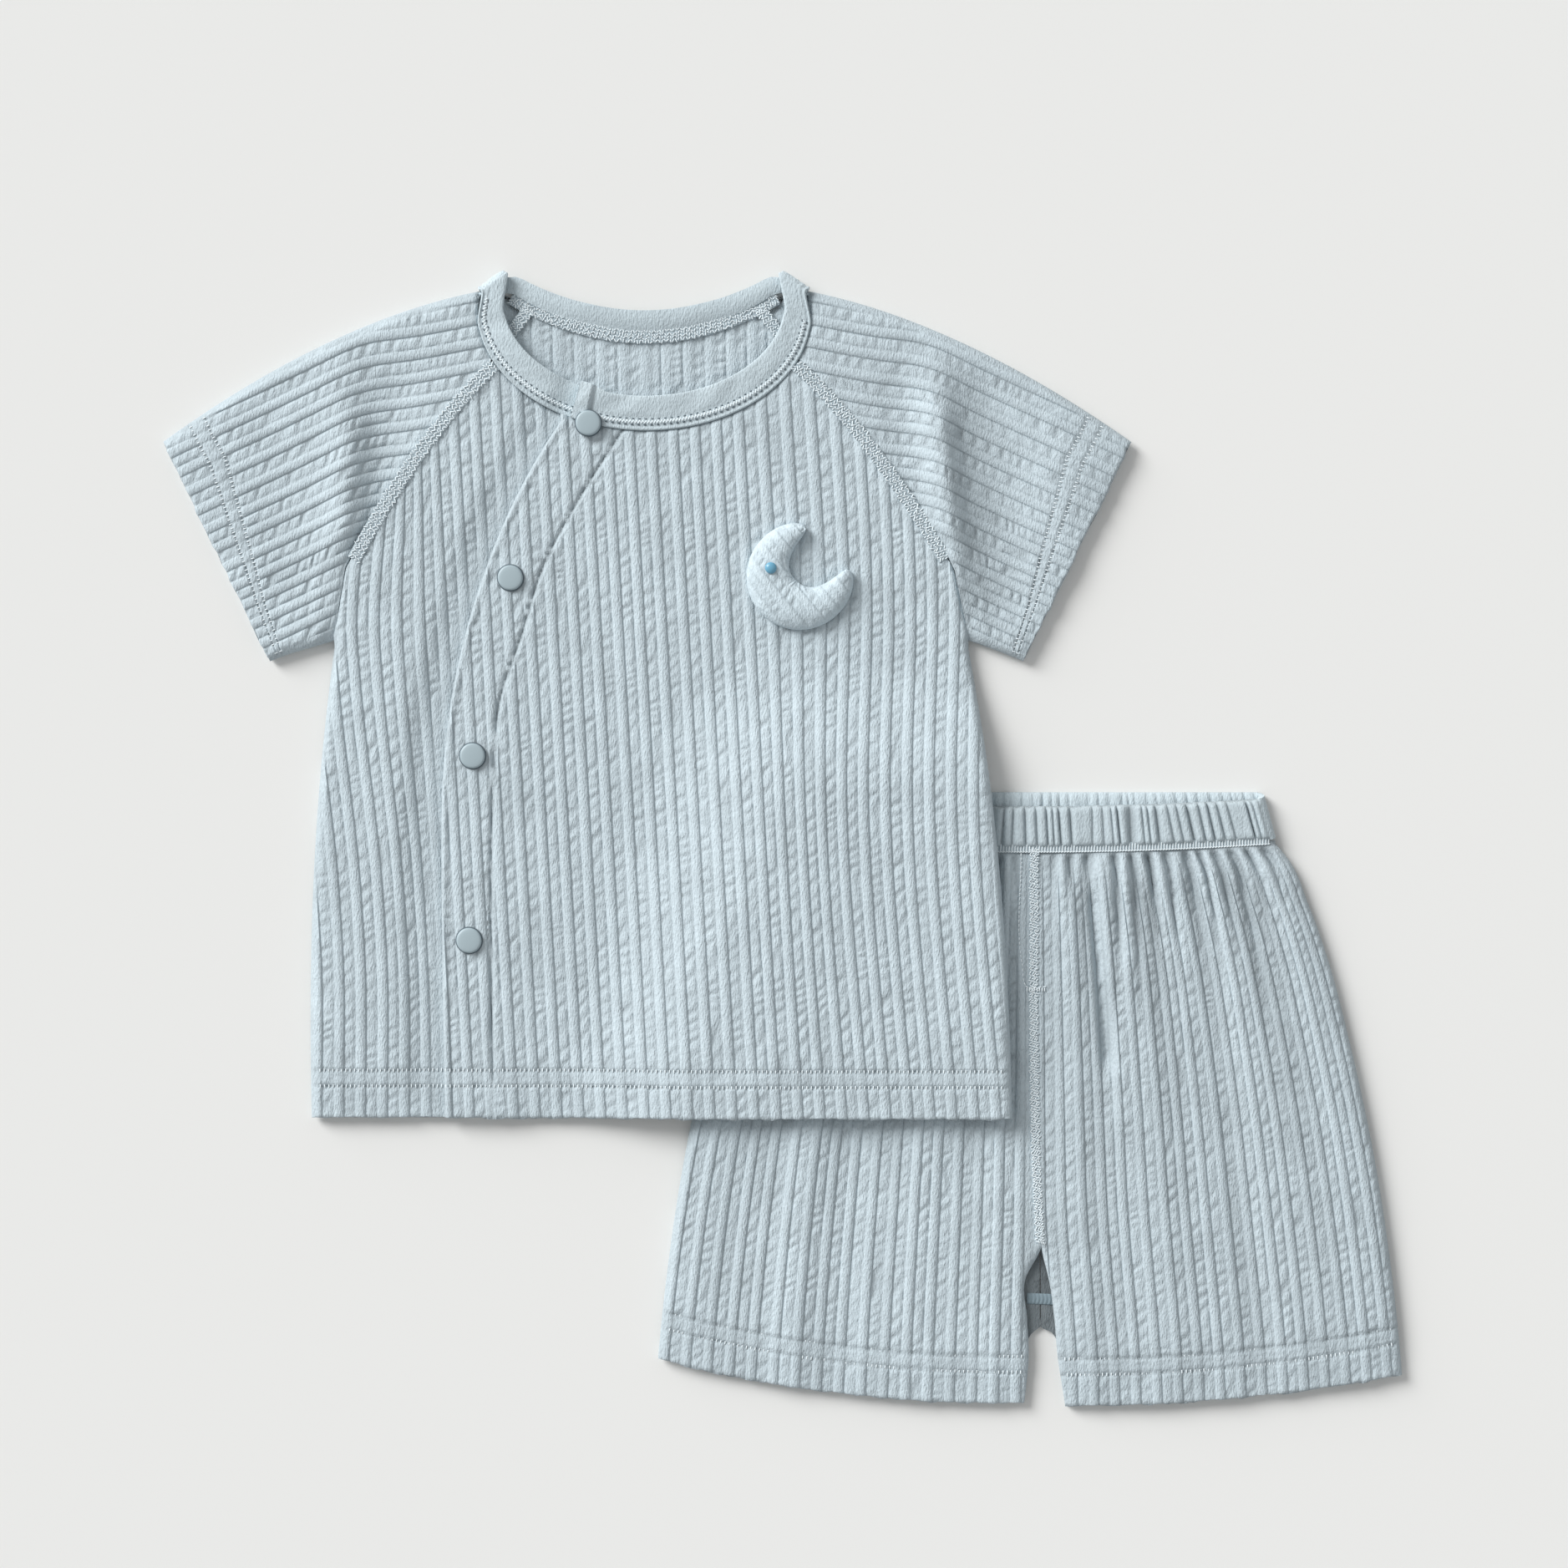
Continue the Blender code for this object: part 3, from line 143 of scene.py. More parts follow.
# The picture: the camera's place in metres, its lens, and each sun's strength, spread in degrees and direction.
CAMERA_AT, LENS, SENSOR = (0, 0.0218, 1.477), 85, 36
SKY, SKY_STRENGTH, PAPER = (0.98, 0.99, 1.0), 0.46, (0.80, 0.80, 0.783)
SUNS = {"key": (2.8, 30, (-1.0, 0.8, 0.8)), "low": (1.1, 38, (-1.0, 0.75, 0.34))}

# Soft folds: start x and y, end x and y, half width and height.
TOP_FOLDS = [
    (-112, 40, -100, 170, 16, 0.5), (-20, 30, -34, 190, 20, -0.5), (48, 20, 66, 150, 18, 0.6),
    (20, 120, 6, 250, 22, 0.5), (104, 60, 96, 190, 14, -0.6),
]
SLEEVE_FOLDS = [
    (126, 200, 116, 272, 6, 1.3), (112, 232, 100, 288, 9, -1.1), (142, 215, 150, 282, 12, -0.9),
    (160, 200, 172, 262, 10, 0.5),
]
SHORTS_FOLDS = [
    (24.3, 197, 29, 142, 2.3, -3.2), (28, 205, 36, 120, 4, 1.0), (40, 190, 62, 30, 9, 0.8),
    (60, 200, 92, 30, 8, -0.8), (84, 205, 120, 30, 8, 0.7), (-38, 190, -52, 30, 8, 0.7),
    (-66, 150, -76, 20, 7, -1.2), (-84, 190, -96, 30, 9, 0.8), (-112, 150, -124, 40, 7, -0.7),
]


def smooth(t):
    t = np.clip(t, 0, 1)
    return t * t * (3 - 2 * t)


def rounded(distance, radius):
    k = np.clip(distance / radius, 0, 1)
    return np.sqrt(1 - (1 - k) ** 2)


def bump(distance, width):
    return np.exp(-((distance / width) ** 2))


def rolled(seam, level, depth, inset, radius=EDGE_RADIUS):
    """Height of cloth that rounds off to its seam at a fold. A lining lies an inset further in."""
    return seam + (level - seam) * rounded(depth - inset, radius - inset)


def eased(count):
    """Shares from 0 to 1 that lie closer together at both ends."""
    return (1 - np.cos(np.linspace(0, math.pi, count))) / 2


def curve_through(t, knots, values):
    """A smooth curve through a short table of points."""
    knots, values = np.asarray(knots, float), np.asarray(values, float)
    slope = np.gradient(values, knots)
    t = np.clip(np.asarray(t, float), knots[0], knots[-1])
    i = np.clip(np.searchsorted(knots, t, side="right") - 1, 0, len(knots) - 2)
    span = knots[i + 1] - knots[i]
    k = (t - knots[i]) / span
    level = values[i] * (1 + 2 * k) * (1 - k) ** 2 + values[i + 1] * k * k * (3 - 2 * k)
    return level + span * (slope[i] * k * (1 - k) ** 2 + slope[i + 1] * k * k * (k - 1))


def scatter(*keys):
    """A fixed number from 0 to 1 for each set of whole numbers."""
    total = sum(np.asarray(k, float) * m for k, m in zip(keys, (12.9898, 78.233, 37.719)))
    return np.mod(np.sin(total) * 43758.5453, 1.0)


def drift(t, row, seed):
    """Smooth noise from 0 to 1 along t, its own for each row."""
    i = np.floor(t)
    k = smooth(t - i)
    return scatter(i, row, seed) * (1 - k) + scatter(i + 1, row, seed) * k


def fold_height(x, y, folds, mirror=1):
    total = np.zeros(np.broadcast(x, y).shape)
    for x0, y0, x1, y1, half, high in folds:
        dx, dy = x1 - x0, y1 - y0
        along = ((mirror * x - x0) * dx + (y - y0) * dy) / (dx * dx + dy * dy)
        away = np.abs((mirror * x - x0) * dy - (y - y0) * dx) / math.hypot(dx, dy)
        total = total + high * bump(away, half) * smooth(along / 0.25 + 1) * smooth((1 - along) / 0.25 + 1)
    return total


def creased(turn, ahead, behind):
    """The number of the nearest crease, and how near it is: 1 on it, and 0 midway to the next."""
    crease = np.round(turn)
    off = turn - crease
    near = np.clip(1 - 2 * np.abs(off), 0, 1)
    return crease, np.where(off > 0, near**ahead, near**behind)


def knit(phase, along, seed, pucker=1.0, slant=PUCKER_SLANT):
    """Height of the cloth over its base. The phase counts ribs, and along is the way along them."""
    row = np.floor(phase)
    p = phase - row
    ribs = smooth(p / RIB_RISE) * smooth((RIB_END - p) / RIB_FALL)
    band = np.clip((p - RIB_END) / (1 - RIB_END), 0, 1)
    lean = slant * (0.2 + 1.6 * drift(along / SLANT_WAVE, row, seed + 3)) * band
    turn = (along - lean) / PUCKER_LENGTH + PUCKER_STRAY * drift(along / STRAY_WAVE, row, seed)
    crease, near = creased(turn, *PUCKER_FALL)
    depth = (0.25 + 0.75 * scatter(crease, row, seed + 1)) * (1 - 0.45 * smooth((band - 0.4) / 0.6))
    strength = 0.75 + 0.25 * drift(along / STRENGTH_WAVE, row, seed + 2)
    ends = smooth(band / 0.22) * (1 - 0.2 * smooth((band - 0.8) / 0.2))
    pillow = PUCKER * (1 - depth * near) * strength * ends
    return RIB_HEIGHT * ribs + pucker * (pillow - PUCKER_DEEP * smooth(band / 0.08))


def side_x(y):
    return curve_through(y, SIDE_Y, SIDE_X) + WAIST_SHIFT


def outline_of_shorts():
    y = np.linspace(WAIST_Y, 14, 12)
    right = [(x, v) for x, v in zip(side_x(y), y)]
    left = [(-x + 2 * WAIST_SHIFT, v) for x, v in right]
    return np.array(right + [(140, 9), (60, 1), (-60, 4), (-140, 14)] + left[::-1])


def near_outline(x, y, outline):
    """Distance to a closed outline, and which points are inside it."""
    nearest = np.full(np.broadcast(x, y).shape, 1e9)
    inside = np.zeros(nearest.shape, bool)
    for (x0, y0), (x1, y1) in zip(outline, np.roll(outline, -1, axis=0)):
        dx, dy = x1 - x0, y1 - y0
        k = np.clip(((x - x0) * dx + (y - y0) * dy) / (dx * dx + dy * dy), 0, 1)
        nearest = np.minimum(nearest, np.hypot(x - x0 - k * dx, y - y0 - k * dy))
        crosses = (y0 > y) != (y1 > y)
        inside ^= crosses & (x < x0 + (y - y0) * dx / (dy or 1e-9))
    return nearest, inside


def top_floor(x, y):
    """What the top lies on: the surface, or the shorts."""
    x = x - TOP_LEAN * y + TOP_AT[0] - SHORTS_AT[0]
    far, inside = near_outline(x, y + TOP_AT[1] - SHORTS_AT[1], outline_of_shorts())
    return LIFT * smooth(1 - np.where(inside, 0, far) / LIFT_REACH)


def taper(y):
    return BODY_TAPER * (np.clip(y, 0, UNDERARM_Y) / UNDERARM_Y) ** TAPER_POWER


def body_x(q, y):
    return q - (q / HEM_HALF) ** 3 * taper(y)


def body_q(x, y):
    q = np.asarray(x, float)
    for _ in range(8):
        q = x + (q / HEM_HALF) ** 3 * taper(y)
    return q


def rib_x(q, y):
    """Where a rib of the body runs: it leans, and sways towards the sides."""
    sway = RIB_LEAN * y + smooth((-70 - q) / 40) * curve_through(y, *SWAY_RIGHT)
    sway = sway + smooth((q - 40) / 50) * curve_through(y, *SWAY_LEFT)
    return q - sway


def neck_y(x, grown=2 * GAP):
    a, b = NECK_HALF + grown, NECK_DROP + grown
    return NECK_CENTRE_Y - b * np.sqrt(np.clip(1 - (x / a) ** 2, 0, 1))


def raglan_y(x):
    d = np.abs(x) - RAGLAN_X
    return RAGLAN_Y - RAGLAN_SLOPE * d - RAGLAN_BEND * d * d


def raglan_x(y):
    root = np.sqrt(RAGLAN_SLOPE**2 + 4 * RAGLAN_BEND * np.clip(RAGLAN_Y - y, 0, None))
    return RAGLAN_X + (root - RAGLAN_SLOPE) / (2 * RAGLAN_BEND)


def front_top(x):
    return np.minimum(neck_y(x, TUCKED), raglan_y(np.maximum(np.abs(x), RAGLAN_X)) - GAP)


def over_sleeve(y):
    """1 where a front's side lies over the sleeve, between the seam's end and the underarm."""
    (low, high), (rise, fall) = OVERLAP_Y, OVERLAP_EASE
    return smooth((y - low) / rise) * smooth((high - y) / fall)


def wrap_edge_q(y):
    k = np.clip((y - WRAP_STRAIGHT_Y) / (WRAP_TOP_Y - WRAP_STRAIGHT_Y), 0, 1)
    return WRAP_X + (WRAP_TOP_X - WRAP_X) * k**WRAP_POWER


def top_loose(x, y):
    """Folds of a front, less the air that a hem lacks."""
    return fold_height(x, y, TOP_FOLDS) - (TOP_GAP - HEM_GAP) * (1 - smooth(y / HEM_DEPTH))


def left_inner(x, y):
    on_wrap = 1 - smooth((body_q(x, y) - wrap_edge_q(y) - WRAP_UNDER - 3) / 14)
    return WALL + TOP_GAP + 0.3 * on_wrap + top_loose(x, y) * (1 - on_wrap)


def right_inner(x, y):
    free = WALL + TOP_GAP + top_loose(x, y)
    tucked = WALL + UNDER_GAP
    return tucked + (free - tucked) * smooth((wrap_edge_q(y) - 7 - body_q(x, y)) / 13)


def placed(x, y, z, plan):
    at, lean = (TOP_AT, TOP_LEAN) if plan == "top" else (SHORTS_AT, 0.0)
    return np.stack([x - lean * y + at[0], y + at[1], z + 0 * x], axis=-1) * MM


def sunk(relief):
    """How far cloth lies below the tops of its ribs, as a share: a painted shade darkens its colour there."""
    return np.clip((RIB_HEIGHT - relief) / PAINTED_SHADE_DEPTH, 0, 1.2)


def outward(mesh, weld=0):
    """Turns the faces of a closed mesh outward, and first joins points nearer than weld in metres."""
    shape = bmesh.new()
    shape.from_mesh(mesh)
    if weld:
        bmesh.ops.remove_doubles(shape, verts=shape.verts, dist=weld)
    bmesh.ops.recalc_face_normals(shape, faces=shape.faces)
    if shape.calc_volume(signed=True) < 0:
        bmesh.ops.reverse_faces(shape, faces=shape.faces)
    shape.to_mesh(mesh)
    shape.free()


def new_object(name, points, faces, material, turn=False, painted_shade=None):
    mesh = bpy.data.meshes.new(name)
    mesh.from_pydata(points.tolist(), [], faces)
    # Painted shade: each point's share by which the material darkens its colour, standing in for shade.
    if painted_shade is not None:
        each = np.zeros(len(points))
        each[: painted_shade.size] = painted_shade.ravel()
        mesh.attributes.new("painted_shade", "FLOAT", "POINT").data.foreach_set("value", each)
    if turn:
        outward(mesh)
    mesh.materials.append(material)
    mesh.shade_smooth()
    mesh.set_sharp_from_angle(angle=math.radians(66))
    obj = bpy.data.objects.new(name, mesh)
    bpy.context.scene.collection.objects.link(obj)
    return obj


def cell_quads(rows, columns):
    at = np.arange(rows * columns).reshape(rows, columns)
    return np.stack([at[:-1, :-1], at[:-1, 1:], at[1:, 1:], at[1:, :-1]], axis=-1).reshape(-1, 4)


def cloth(name, x, y, z, painted_shade, under, plan, material, step=7.0):
    """A closed wall. Its face is a fine grid, whose columns and rows may end on its outline, and its lining
    is coarse. under gives the lining's height at points of the plan."""
    flat = np.stack([x.ravel(), y.ravel()], axis=1)
    _, first, index = np.unique(np.round(flat, 3), axis=0, return_index=True, return_inverse=True)
    index = index.ravel()
    at, z = flat[first], z.ravel()[first]
    quads = index[cell_quads(*x.shape)]
    same = quads == np.roll(quads, -1, axis=1)
    one = same.sum(axis=1) == 1
    thirds = quads[one][~same[one]].reshape(-1, 3)
    quads = quads[~same.any(axis=1)]
    a, c = at[quads[:, 0]], at[quads[:, 2]]
    b, d = at[quads[:, 1]], at[quads[:, 3]]
    if np.sum((c - a)[:, 0] * (d - b)[:, 1] - (c - a)[:, 1] * (d - b)[:, 0]) < 0:
        quads, thirds = quads[:, ::-1], thirds[:, ::-1]
    ends = [np.stack([f.ravel(), np.roll(f, -1, axis=1).ravel()], axis=1) for f in (quads, thirds)]
    edges = np.concatenate(ends)
    count = len(at)
    alone = edges[~np.isin(edges[:, 0] * count + edges[:, 1], edges[:, 1] * count + edges[:, 0])]
    onward = dict(alone.tolist())
    loop = [int(alone[0, 0])]
    while onward[loop[-1]] != loop[0]:
        loop.append(onward[loop[-1]])
    rim = at[loop]
    lo, hi = rim.min(axis=0), rim.max(axis=0)
    px, py = np.meshgrid(np.arange(lo[0], hi[0], step), np.arange(lo[1], hi[1], step))
    far, inside = near_outline(px, py, rim)
    inner = np.stack([px, py], axis=-1)[inside & (far > LINING_EDGE)]
    every = [Vector(p) for p in np.concatenate([rim, inner]).tolist()]
    n = len(loop)
    found = delaunay_2d_cdt(every, [(i, (i + 1) % n) for i in range(n)], [], 1, 1e-5)
    lining = np.array([tuple(v) for v in found[0]])
    to_lining = {i: k for k, sources in enumerate(found[3]) for i in sources}
    low = under(lining[:, 0], lining[:, 1])
    for i, k in enumerate(loop):
        low[to_lining[i]] = min(low[to_lining[i]], z[k] - RIM_DROP)
    face, back = placed(at[:, 0], at[:, 1], z, plan), placed(lining[:, 0], lining[:, 1], low, plan)
    faces = quads.tolist() + thirds.tolist()
    for i, k in enumerate(loop):
        m = (i + 1) % n
        faces.append((loop[m], k, count + to_lining[i], count + to_lining[m]))
    for f in found[2]:
        p = lining[list(f)]
        turn = (p[1] - p[0])[0] * (p[2] - p[0])[1] - (p[1] - p[0])[1] * (p[2] - p[0])[0]
        faces.append([count + i for i in (f if turn < 0 else f[::-1])])
    return new_object(name, np.concatenate([face, back]), faces, material, painted_shade=painted_shade.ravel()[first])


def zipped(a, b, at_a, at_b):
    """Triangles between two chains of points that run side by side."""
    faces, i, j = [], 0, 0
    while i < len(a) - 1 or j < len(b) - 1:
        if j == len(b) - 1 or (i < len(a) - 1 and at_a[i + 1] <= at_b[j + 1]):
            faces.append((a[i], a[i + 1], b[j]))
            i += 1
        else:
            faces.append((a[i], b[j + 1], b[j]))
            j += 1
    return faces


def wall(name, face, lining, places, material, ring=False, painted_shade=None):
    """One closed wall between two grids of points in metres, or between two rings. places holds each grid's
    rows and columns: the face's, then the lining's."""
    (rows_f, columns_f), (rows_l, columns_l) = places
    if ring:
        face, lining = (np.concatenate([g, g[:, :1]], axis=1) for g in (face, lining))
        painted_shade = None if painted_shade is None else np.concatenate([painted_shade, painted_shade[:, :1]], axis=1)
        columns_f, columns_l = np.append(columns_f, 1e9), np.append(columns_l, 1e9)
    start = face.shape[0] * face.shape[1]
    faces = cell_quads(*face.shape[:2]).tolist() + (cell_quads(*lining.shape[:2]) + start).tolist()
    a = np.arange(start).reshape(face.shape[:2])
    b = start + np.arange(lining.shape[0] * lining.shape[1]).reshape(lining.shape[:2])
    for k in (0, -1):
        faces += zipped(a[k].tolist(), b[k].tolist(), columns_f, columns_l)
        if not ring:
            faces += zipped(a[:, k].tolist(), b[:, k].tolist(), rows_f, rows_l)
    points = np.concatenate([face.reshape(-1, 3), lining.reshape(-1, 3)])
    obj = new_object(name, points, faces, material, painted_shade=painted_shade)
    outward(obj.data, 1e-7)
    return obj


def rib_columns(low, high, parts=COLUMNS):
    """Columns for a ribbed face, in ribs."""
    every = [k + c for k in range(math.floor(low), math.ceil(high)) for c in parts]
    return np.array([low, *(c for c in every if low + 0.02 < c < high - 0.02), high])


def rows_to(top, step=ROW):
    return np.concatenate([[0, 0.3, 0.8], np.linspace(1.5, top, int(top / step))])


def settled(x, y, y0):
    """Grid points with every row of a column that lies past the outline at the column's one end point."""
    past = y < y0 - 1e-9
    last = np.where(past.any(axis=0), past.argmax(axis=0), len(y) - 1)
    row = np.minimum(np.arange(len(y))[:, None], last)
    return np.take_along_axis(x, row, 0), np.take_along_axis(y, row, 0)


def uneven_edge(across):
    """How far a hem's edge strays from its line."""
    return 0.9 * (drift(across / 4.3, 0, 91) - 0.5) + 0.5 * (drift(across / 1.7, 0, 92) - 0.5)


def hem_relief(height, up, across):
    """Cloth near a hem: it is pressed flat between two stitched rows, which pull it in."""
    band = smooth((up - HEM_ROWS[0] + 0.6) / 1.2) * smooth((HEM_ROWS[1] + 0.6 - up) / 1.2)
    rough = 0.15 + 0.4 * drift(across / 1.5, 0, 5) * drift(up / 2.0, 0, 6)
    height = height * (1 - 0.6 * band) + band * rough
    height = height * (1 - 0.15 * smooth((HEM_ROWS[0] - up) / 2))
    for row in HEM_ROWS:
        height = height - (0.45 + 0.35 * drift(across / 1.2, row, 7)) * bump(up - row, 0.65)
    return height - 0.9 * (1 - rounded(up, 1.1))


def front(name, columns, left, right, inner, side, relief, material):
    """A front of the top between two edges given as functions of the height."""
    q, y0 = np.meshgrid(columns * PITCH, rows_to(RAGLAN_Y + 1))
    y = y0
    for _ in range(16):
        x = np.clip(rib_x(q, y), left(y), right(y))
        y = np.minimum(y0, front_top(x))
    x, y = settled(x, y, y0)
    y = y + uneven_edge(x) * (1 - smooth(y / 8))

    def depth(x, y):
        return HEM_HALF - side * body_q(x, y) + OVERLAP * over_sleeve(y)

    def level(x, y, lift, inset):
        over = over_sleeve(y)
        seam, radius = SEAM_HEIGHT + GAP / 2 + 0.9 * over, EDGE_RADIUS - 1.4 * over
        return rolled(seam, inner(x, y) + lift, depth(x, y), inset, radius) + top_floor(x, y)

    height = hem_relief(knit(q / PITCH, y, 3 + side), y, x) * smooth(depth(x, y) / 3)
    height = relief(x, y, height) - DIVE * (1 - rounded((neck_y(x, TUCKED) - y) * 0.8, 2.6))
    face = level(x, y, WALL, 0) + height
    return cloth(name, x, y, face, sunk(height), lambda x, y: level(x, y, 0, WALL), "top", material)


def facing_away(x, y):
    """Signed distance to the right of the facing's stitched line."""
    slope = (curve_through(y + 1, FACING_Y, FACING_X) - curve_through(y - 1, FACING_Y, FACING_X)) / 2
    return (x - curve_through(y, FACING_Y, FACING_X)) / np.sqrt(1 + slope**2)


def wrap_away(x, y):
    """Signed distance to the left front's side of the wrap's edge."""
    slope = body_x(wrap_edge_q(y + 1), y) - body_x(wrap_edge_q(y - 1), y)
    return (x - body_x(wrap_edge_q(y), y)) / np.sqrt(1 + (slope / 2) ** 2)


def left_relief(x, y, height):
    away, edge = facing_away(x, y), wrap_away(x, y)
    height = height * (1 - 0.85 * bump(away - 0.5, 1.2)) * (0.25 + 0.75 * smooth(edge / 3.0))
    height = height - (0.8 + 0.5 * drift(y / 1.7, 0, 8)) * bump(away + 0.1, 0.5) + 0.3 * bump(away - 1.4, 0.8)
    height = height - 0.6 * (1 - rounded(edge, 0.6))
    return height + 0.5 * bump(edge - 1.1, 0.8) - 0.35 * bump(edge - 3.2, 0.9)


def right_relief(x, y, height):
    """Cloth lies flatter where the wrap covers it."""
    return height * (0.35 + 0.65 * smooth((wrap_edge_q(y) - 1 - body_q(x, y)) / 8))


def back_raglan_y(x):
    corner = BACK_NECK_Y + BACK_NECK_RISE * (BACK_RAGLAN_X / BACK_NECK_SPAN) ** 2
    k = (x - BACK_RAGLAN_X) / (HEM_HALF - BODY_TAPER - BACK_RAGLAN_X)
    return corner + (UNDERARM_Y - corner) * (0.9 * k + 0.1 * k * k)


def top_back(material):
    fine = rib_columns(-8.0, 8.0) * PITCH
    side = np.concatenate([np.arange(9, 15.4, 0.5) * PITCH, [HEM_HALF - d for d in (5, 3.4, 2, 1, 0.4, 0)]])
    columns = np.concatenate([-side[::-1], fine, side])
    y0 = np.concatenate([np.arange(0, 250, 4.0), np.arange(250, 331, ROW)])
    q, y0 = np.meshgrid(columns, y0)
    y = y0
    for _ in range(10):
        x = body_x(q, y)
        neck = BACK_NECK_Y + BACK_NECK_RISE * (np.abs(x) / BACK_NECK_SPAN) ** 2
        top = np.where(np.abs(x) < BACK_RAGLAN_X, neck, back_raglan_y(np.abs(x))) - GAP
        y = np.minimum(y0, top)
    x, y = settled(x, y, y0)

    def level(x, y, lift, inset):
        depth = HEM_HALF - np.abs(body_q(x, y))
        return rolled(SEAM_HEIGHT - GAP / 2, lift, depth, inset) + top_floor(x, y)

    height = 1.1 * knit(q / PITCH + 0.3, y, 21) * smooth((y - 250) / 9)
    face = level(x, y, WALL, WALL) + height
    painted_shade = sunk(height)
    return cloth("top_back_cloth", x, y, face, painted_shade, lambda x, y: level(x, y, 0, 0), "top", material, 9.0)


def armhole(layer, t):
    """Points of a sleeve's edge at the body, t from the shoulder to the end of the seam at the side."""
    if layer == "front":
        y = SHOULDER[1] + (ARMHOLE_LOW_Y - SHOULDER[1]) * t
        a, b = NECK_HALF + TUCKED, NECK_DROP + TUCKED
        x = np.where(y > NECK_CENTRE_Y, a, a * np.sqrt(np.clip(1 - ((NECK_CENTRE_Y - y) / b) ** 2, 0, 1)))
        x = np.where(y < RAGLAN_Y, raglan_x(y) + 2 * GAP, x)
        return np.where(y < UNDERARM_Y, HEM_HALF - taper(y) + 2 * GAP, x), y
    at, corner_y = (0, 0.08, 0.16, 0.78, 1), float(back_raglan_y(BACK_RAGLAN_X))
    underarm, low_x = HEM_HALF - BODY_TAPER, HEM_HALF - taper(ARMHOLE_LOW_Y)
    x = np.interp(t, at, (SHOULDER[0], 56.5, BACK_RAGLAN_X + 2 * GAP, underarm, low_x))
    y = np.interp(t, at, (SHOULDER[1], 328, corner_y, UNDERARM_Y + 2 * GAP, ARMHOLE_LOW_Y))
    y = np.where((t >= at[2]) & (t < at[3]), back_raglan_y(x) + 2 * GAP, y)
    return x + np.where(t > 0.77, 3 * GAP, 0), y


def sleeve_plan(side, layer, s, t):
    """A point of a sleeve: s from armhole to cuff, t from the shoulder fold to the underarm."""
    x0, y0 = armhole(layer, t)
    x1 = CUFF_TOP[0] + (CUFF_LOW_X[side] - CUFF_TOP[0]) * t
    y1 = CUFF_TOP[1] + (CUFF_LOW_Y - CUFF_TOP[1]) * t
    reach = np.hypot(x1 - x0, y1 - y0)
    leave, arrive = -0.2 + 0.75 * t - 0.9 * t * t, -0.62 + 0.2 * t
    h = ((1 + 2 * s) * (1 - s) ** 2, s * (1 - s) ** 2, s * s * (3 - 2 * s), s * s * (s - 1))
    x = h[0] * x0 + h[2] * x1 + reach * (h[1] * np.cos(leave) + h[3] * np.cos(arrive))
    y = h[0] * y0 + h[2] * y1 + reach * (h[1] * np.sin(leave) + h[3] * np.sin(arrive))
    return side * x, y


def sleeve_phase(x, y):
    """Ribs counted down from the shoulder, for x from the middle: they bend where the sleeve folds."""
    bend = 5 * np.logaddexp(0, (x - SLEEVE_BEND_X) / 5)
    lean = 0.2 * (x - SHOULDER[0]) + 0.27 * bend
    return (SHOULDER[1] - y - lean + 1.5 * bump(x - SLEEVE_BEND_X + 8, 14)) / SLEEVE_PITCH


def drape(side, x, y):
    """The fold that runs down a sleeve beside its seam: a ridge, and a slope on its side away from the light.
    Gives its height, and how strongly a painted shade darkens the cloth beside it."""
    (x0, y0), (x1, y1), drop, width = DRAPE[side]
    away = ((x - x0) * (y1 - y0) - (y - y0) * (x1 - x0)) / math.hypot(x1 - x0, y1 - y0) * side
    here = smooth((y - y0 + 24) / 24) * smooth((y1 + 14 - y) / 40)
    slope = smooth(away / width) * (1 - smooth((away - width) / 38))
    dent = 1.3 * bump(away - 19, 9) * bump(y - 287, 11) if side == 1 else 0
    return here * (DRAPE_RIDGE[side] * bump(away, 9) - drop * slope) - dent, here * bump(away - 14, 12)


def sleeve_depth(t):
    """How far a point of a sleeve is from the nearer of its two folds."""
    return np.minimum(t, 1 - t) * SLEEVE_ACROSS


def sleeve_length(t):
    return np.hypot(CUFF_TOP[0] - RAGLAN_X, CUFF_TOP[1] - RAGLAN_Y) - UNDERARM_SHORTER * t


def sleeve_face(side, s, t):
    """A sleeve's upper layer: x, y and z with its relief, its height before it rounds off, and the relief."""
    x, y = sleeve_plan(side, "front", s, t)
    depth, length = sleeve_depth(t), sleeve_length(t)
    cuff = (TOP_GAP - HEM_GAP) * smooth((s - 0.75) / 0.25)
    below = smooth((t - 0.64) / 0.1)
    tucked = 2.9 * below * (1 - smooth(s / 0.3))
    top = SLEEVE_HEIGHT - cuff - tucked + fold_height(x, y, SLEEVE_FOLDS, side) + drape(side, side * x, y)[0]
    ribs = knit(sleeve_phase(side * x, y), -x * 1.1, 31 + side, SLEEVE_PUCKER, SLEEVE_SLANT)
    relief = hem_relief(ribs, (1 - s) * length, t * SLEEVE_ACROSS) * smooth(depth / 3)
    relief = relief * (1 - 0.85 * below * (1 - smooth(s / 0.06)))
    neck = 1 - smooth((t - SLEEVE_NECK) / 0.02)
    relief = relief - DIVE * neck * (1 - rounded(s * length, 3.0))
    stray = uneven_edge(t * SLEEVE_ACROSS + 40 * side) * smooth((s - 0.9) / 0.1)
    z = rolled(SEAM_HEIGHT, top, depth, 0)
    return x + side * 0.85 * stray, y - 0.5 * stray, z + relief, top, relief


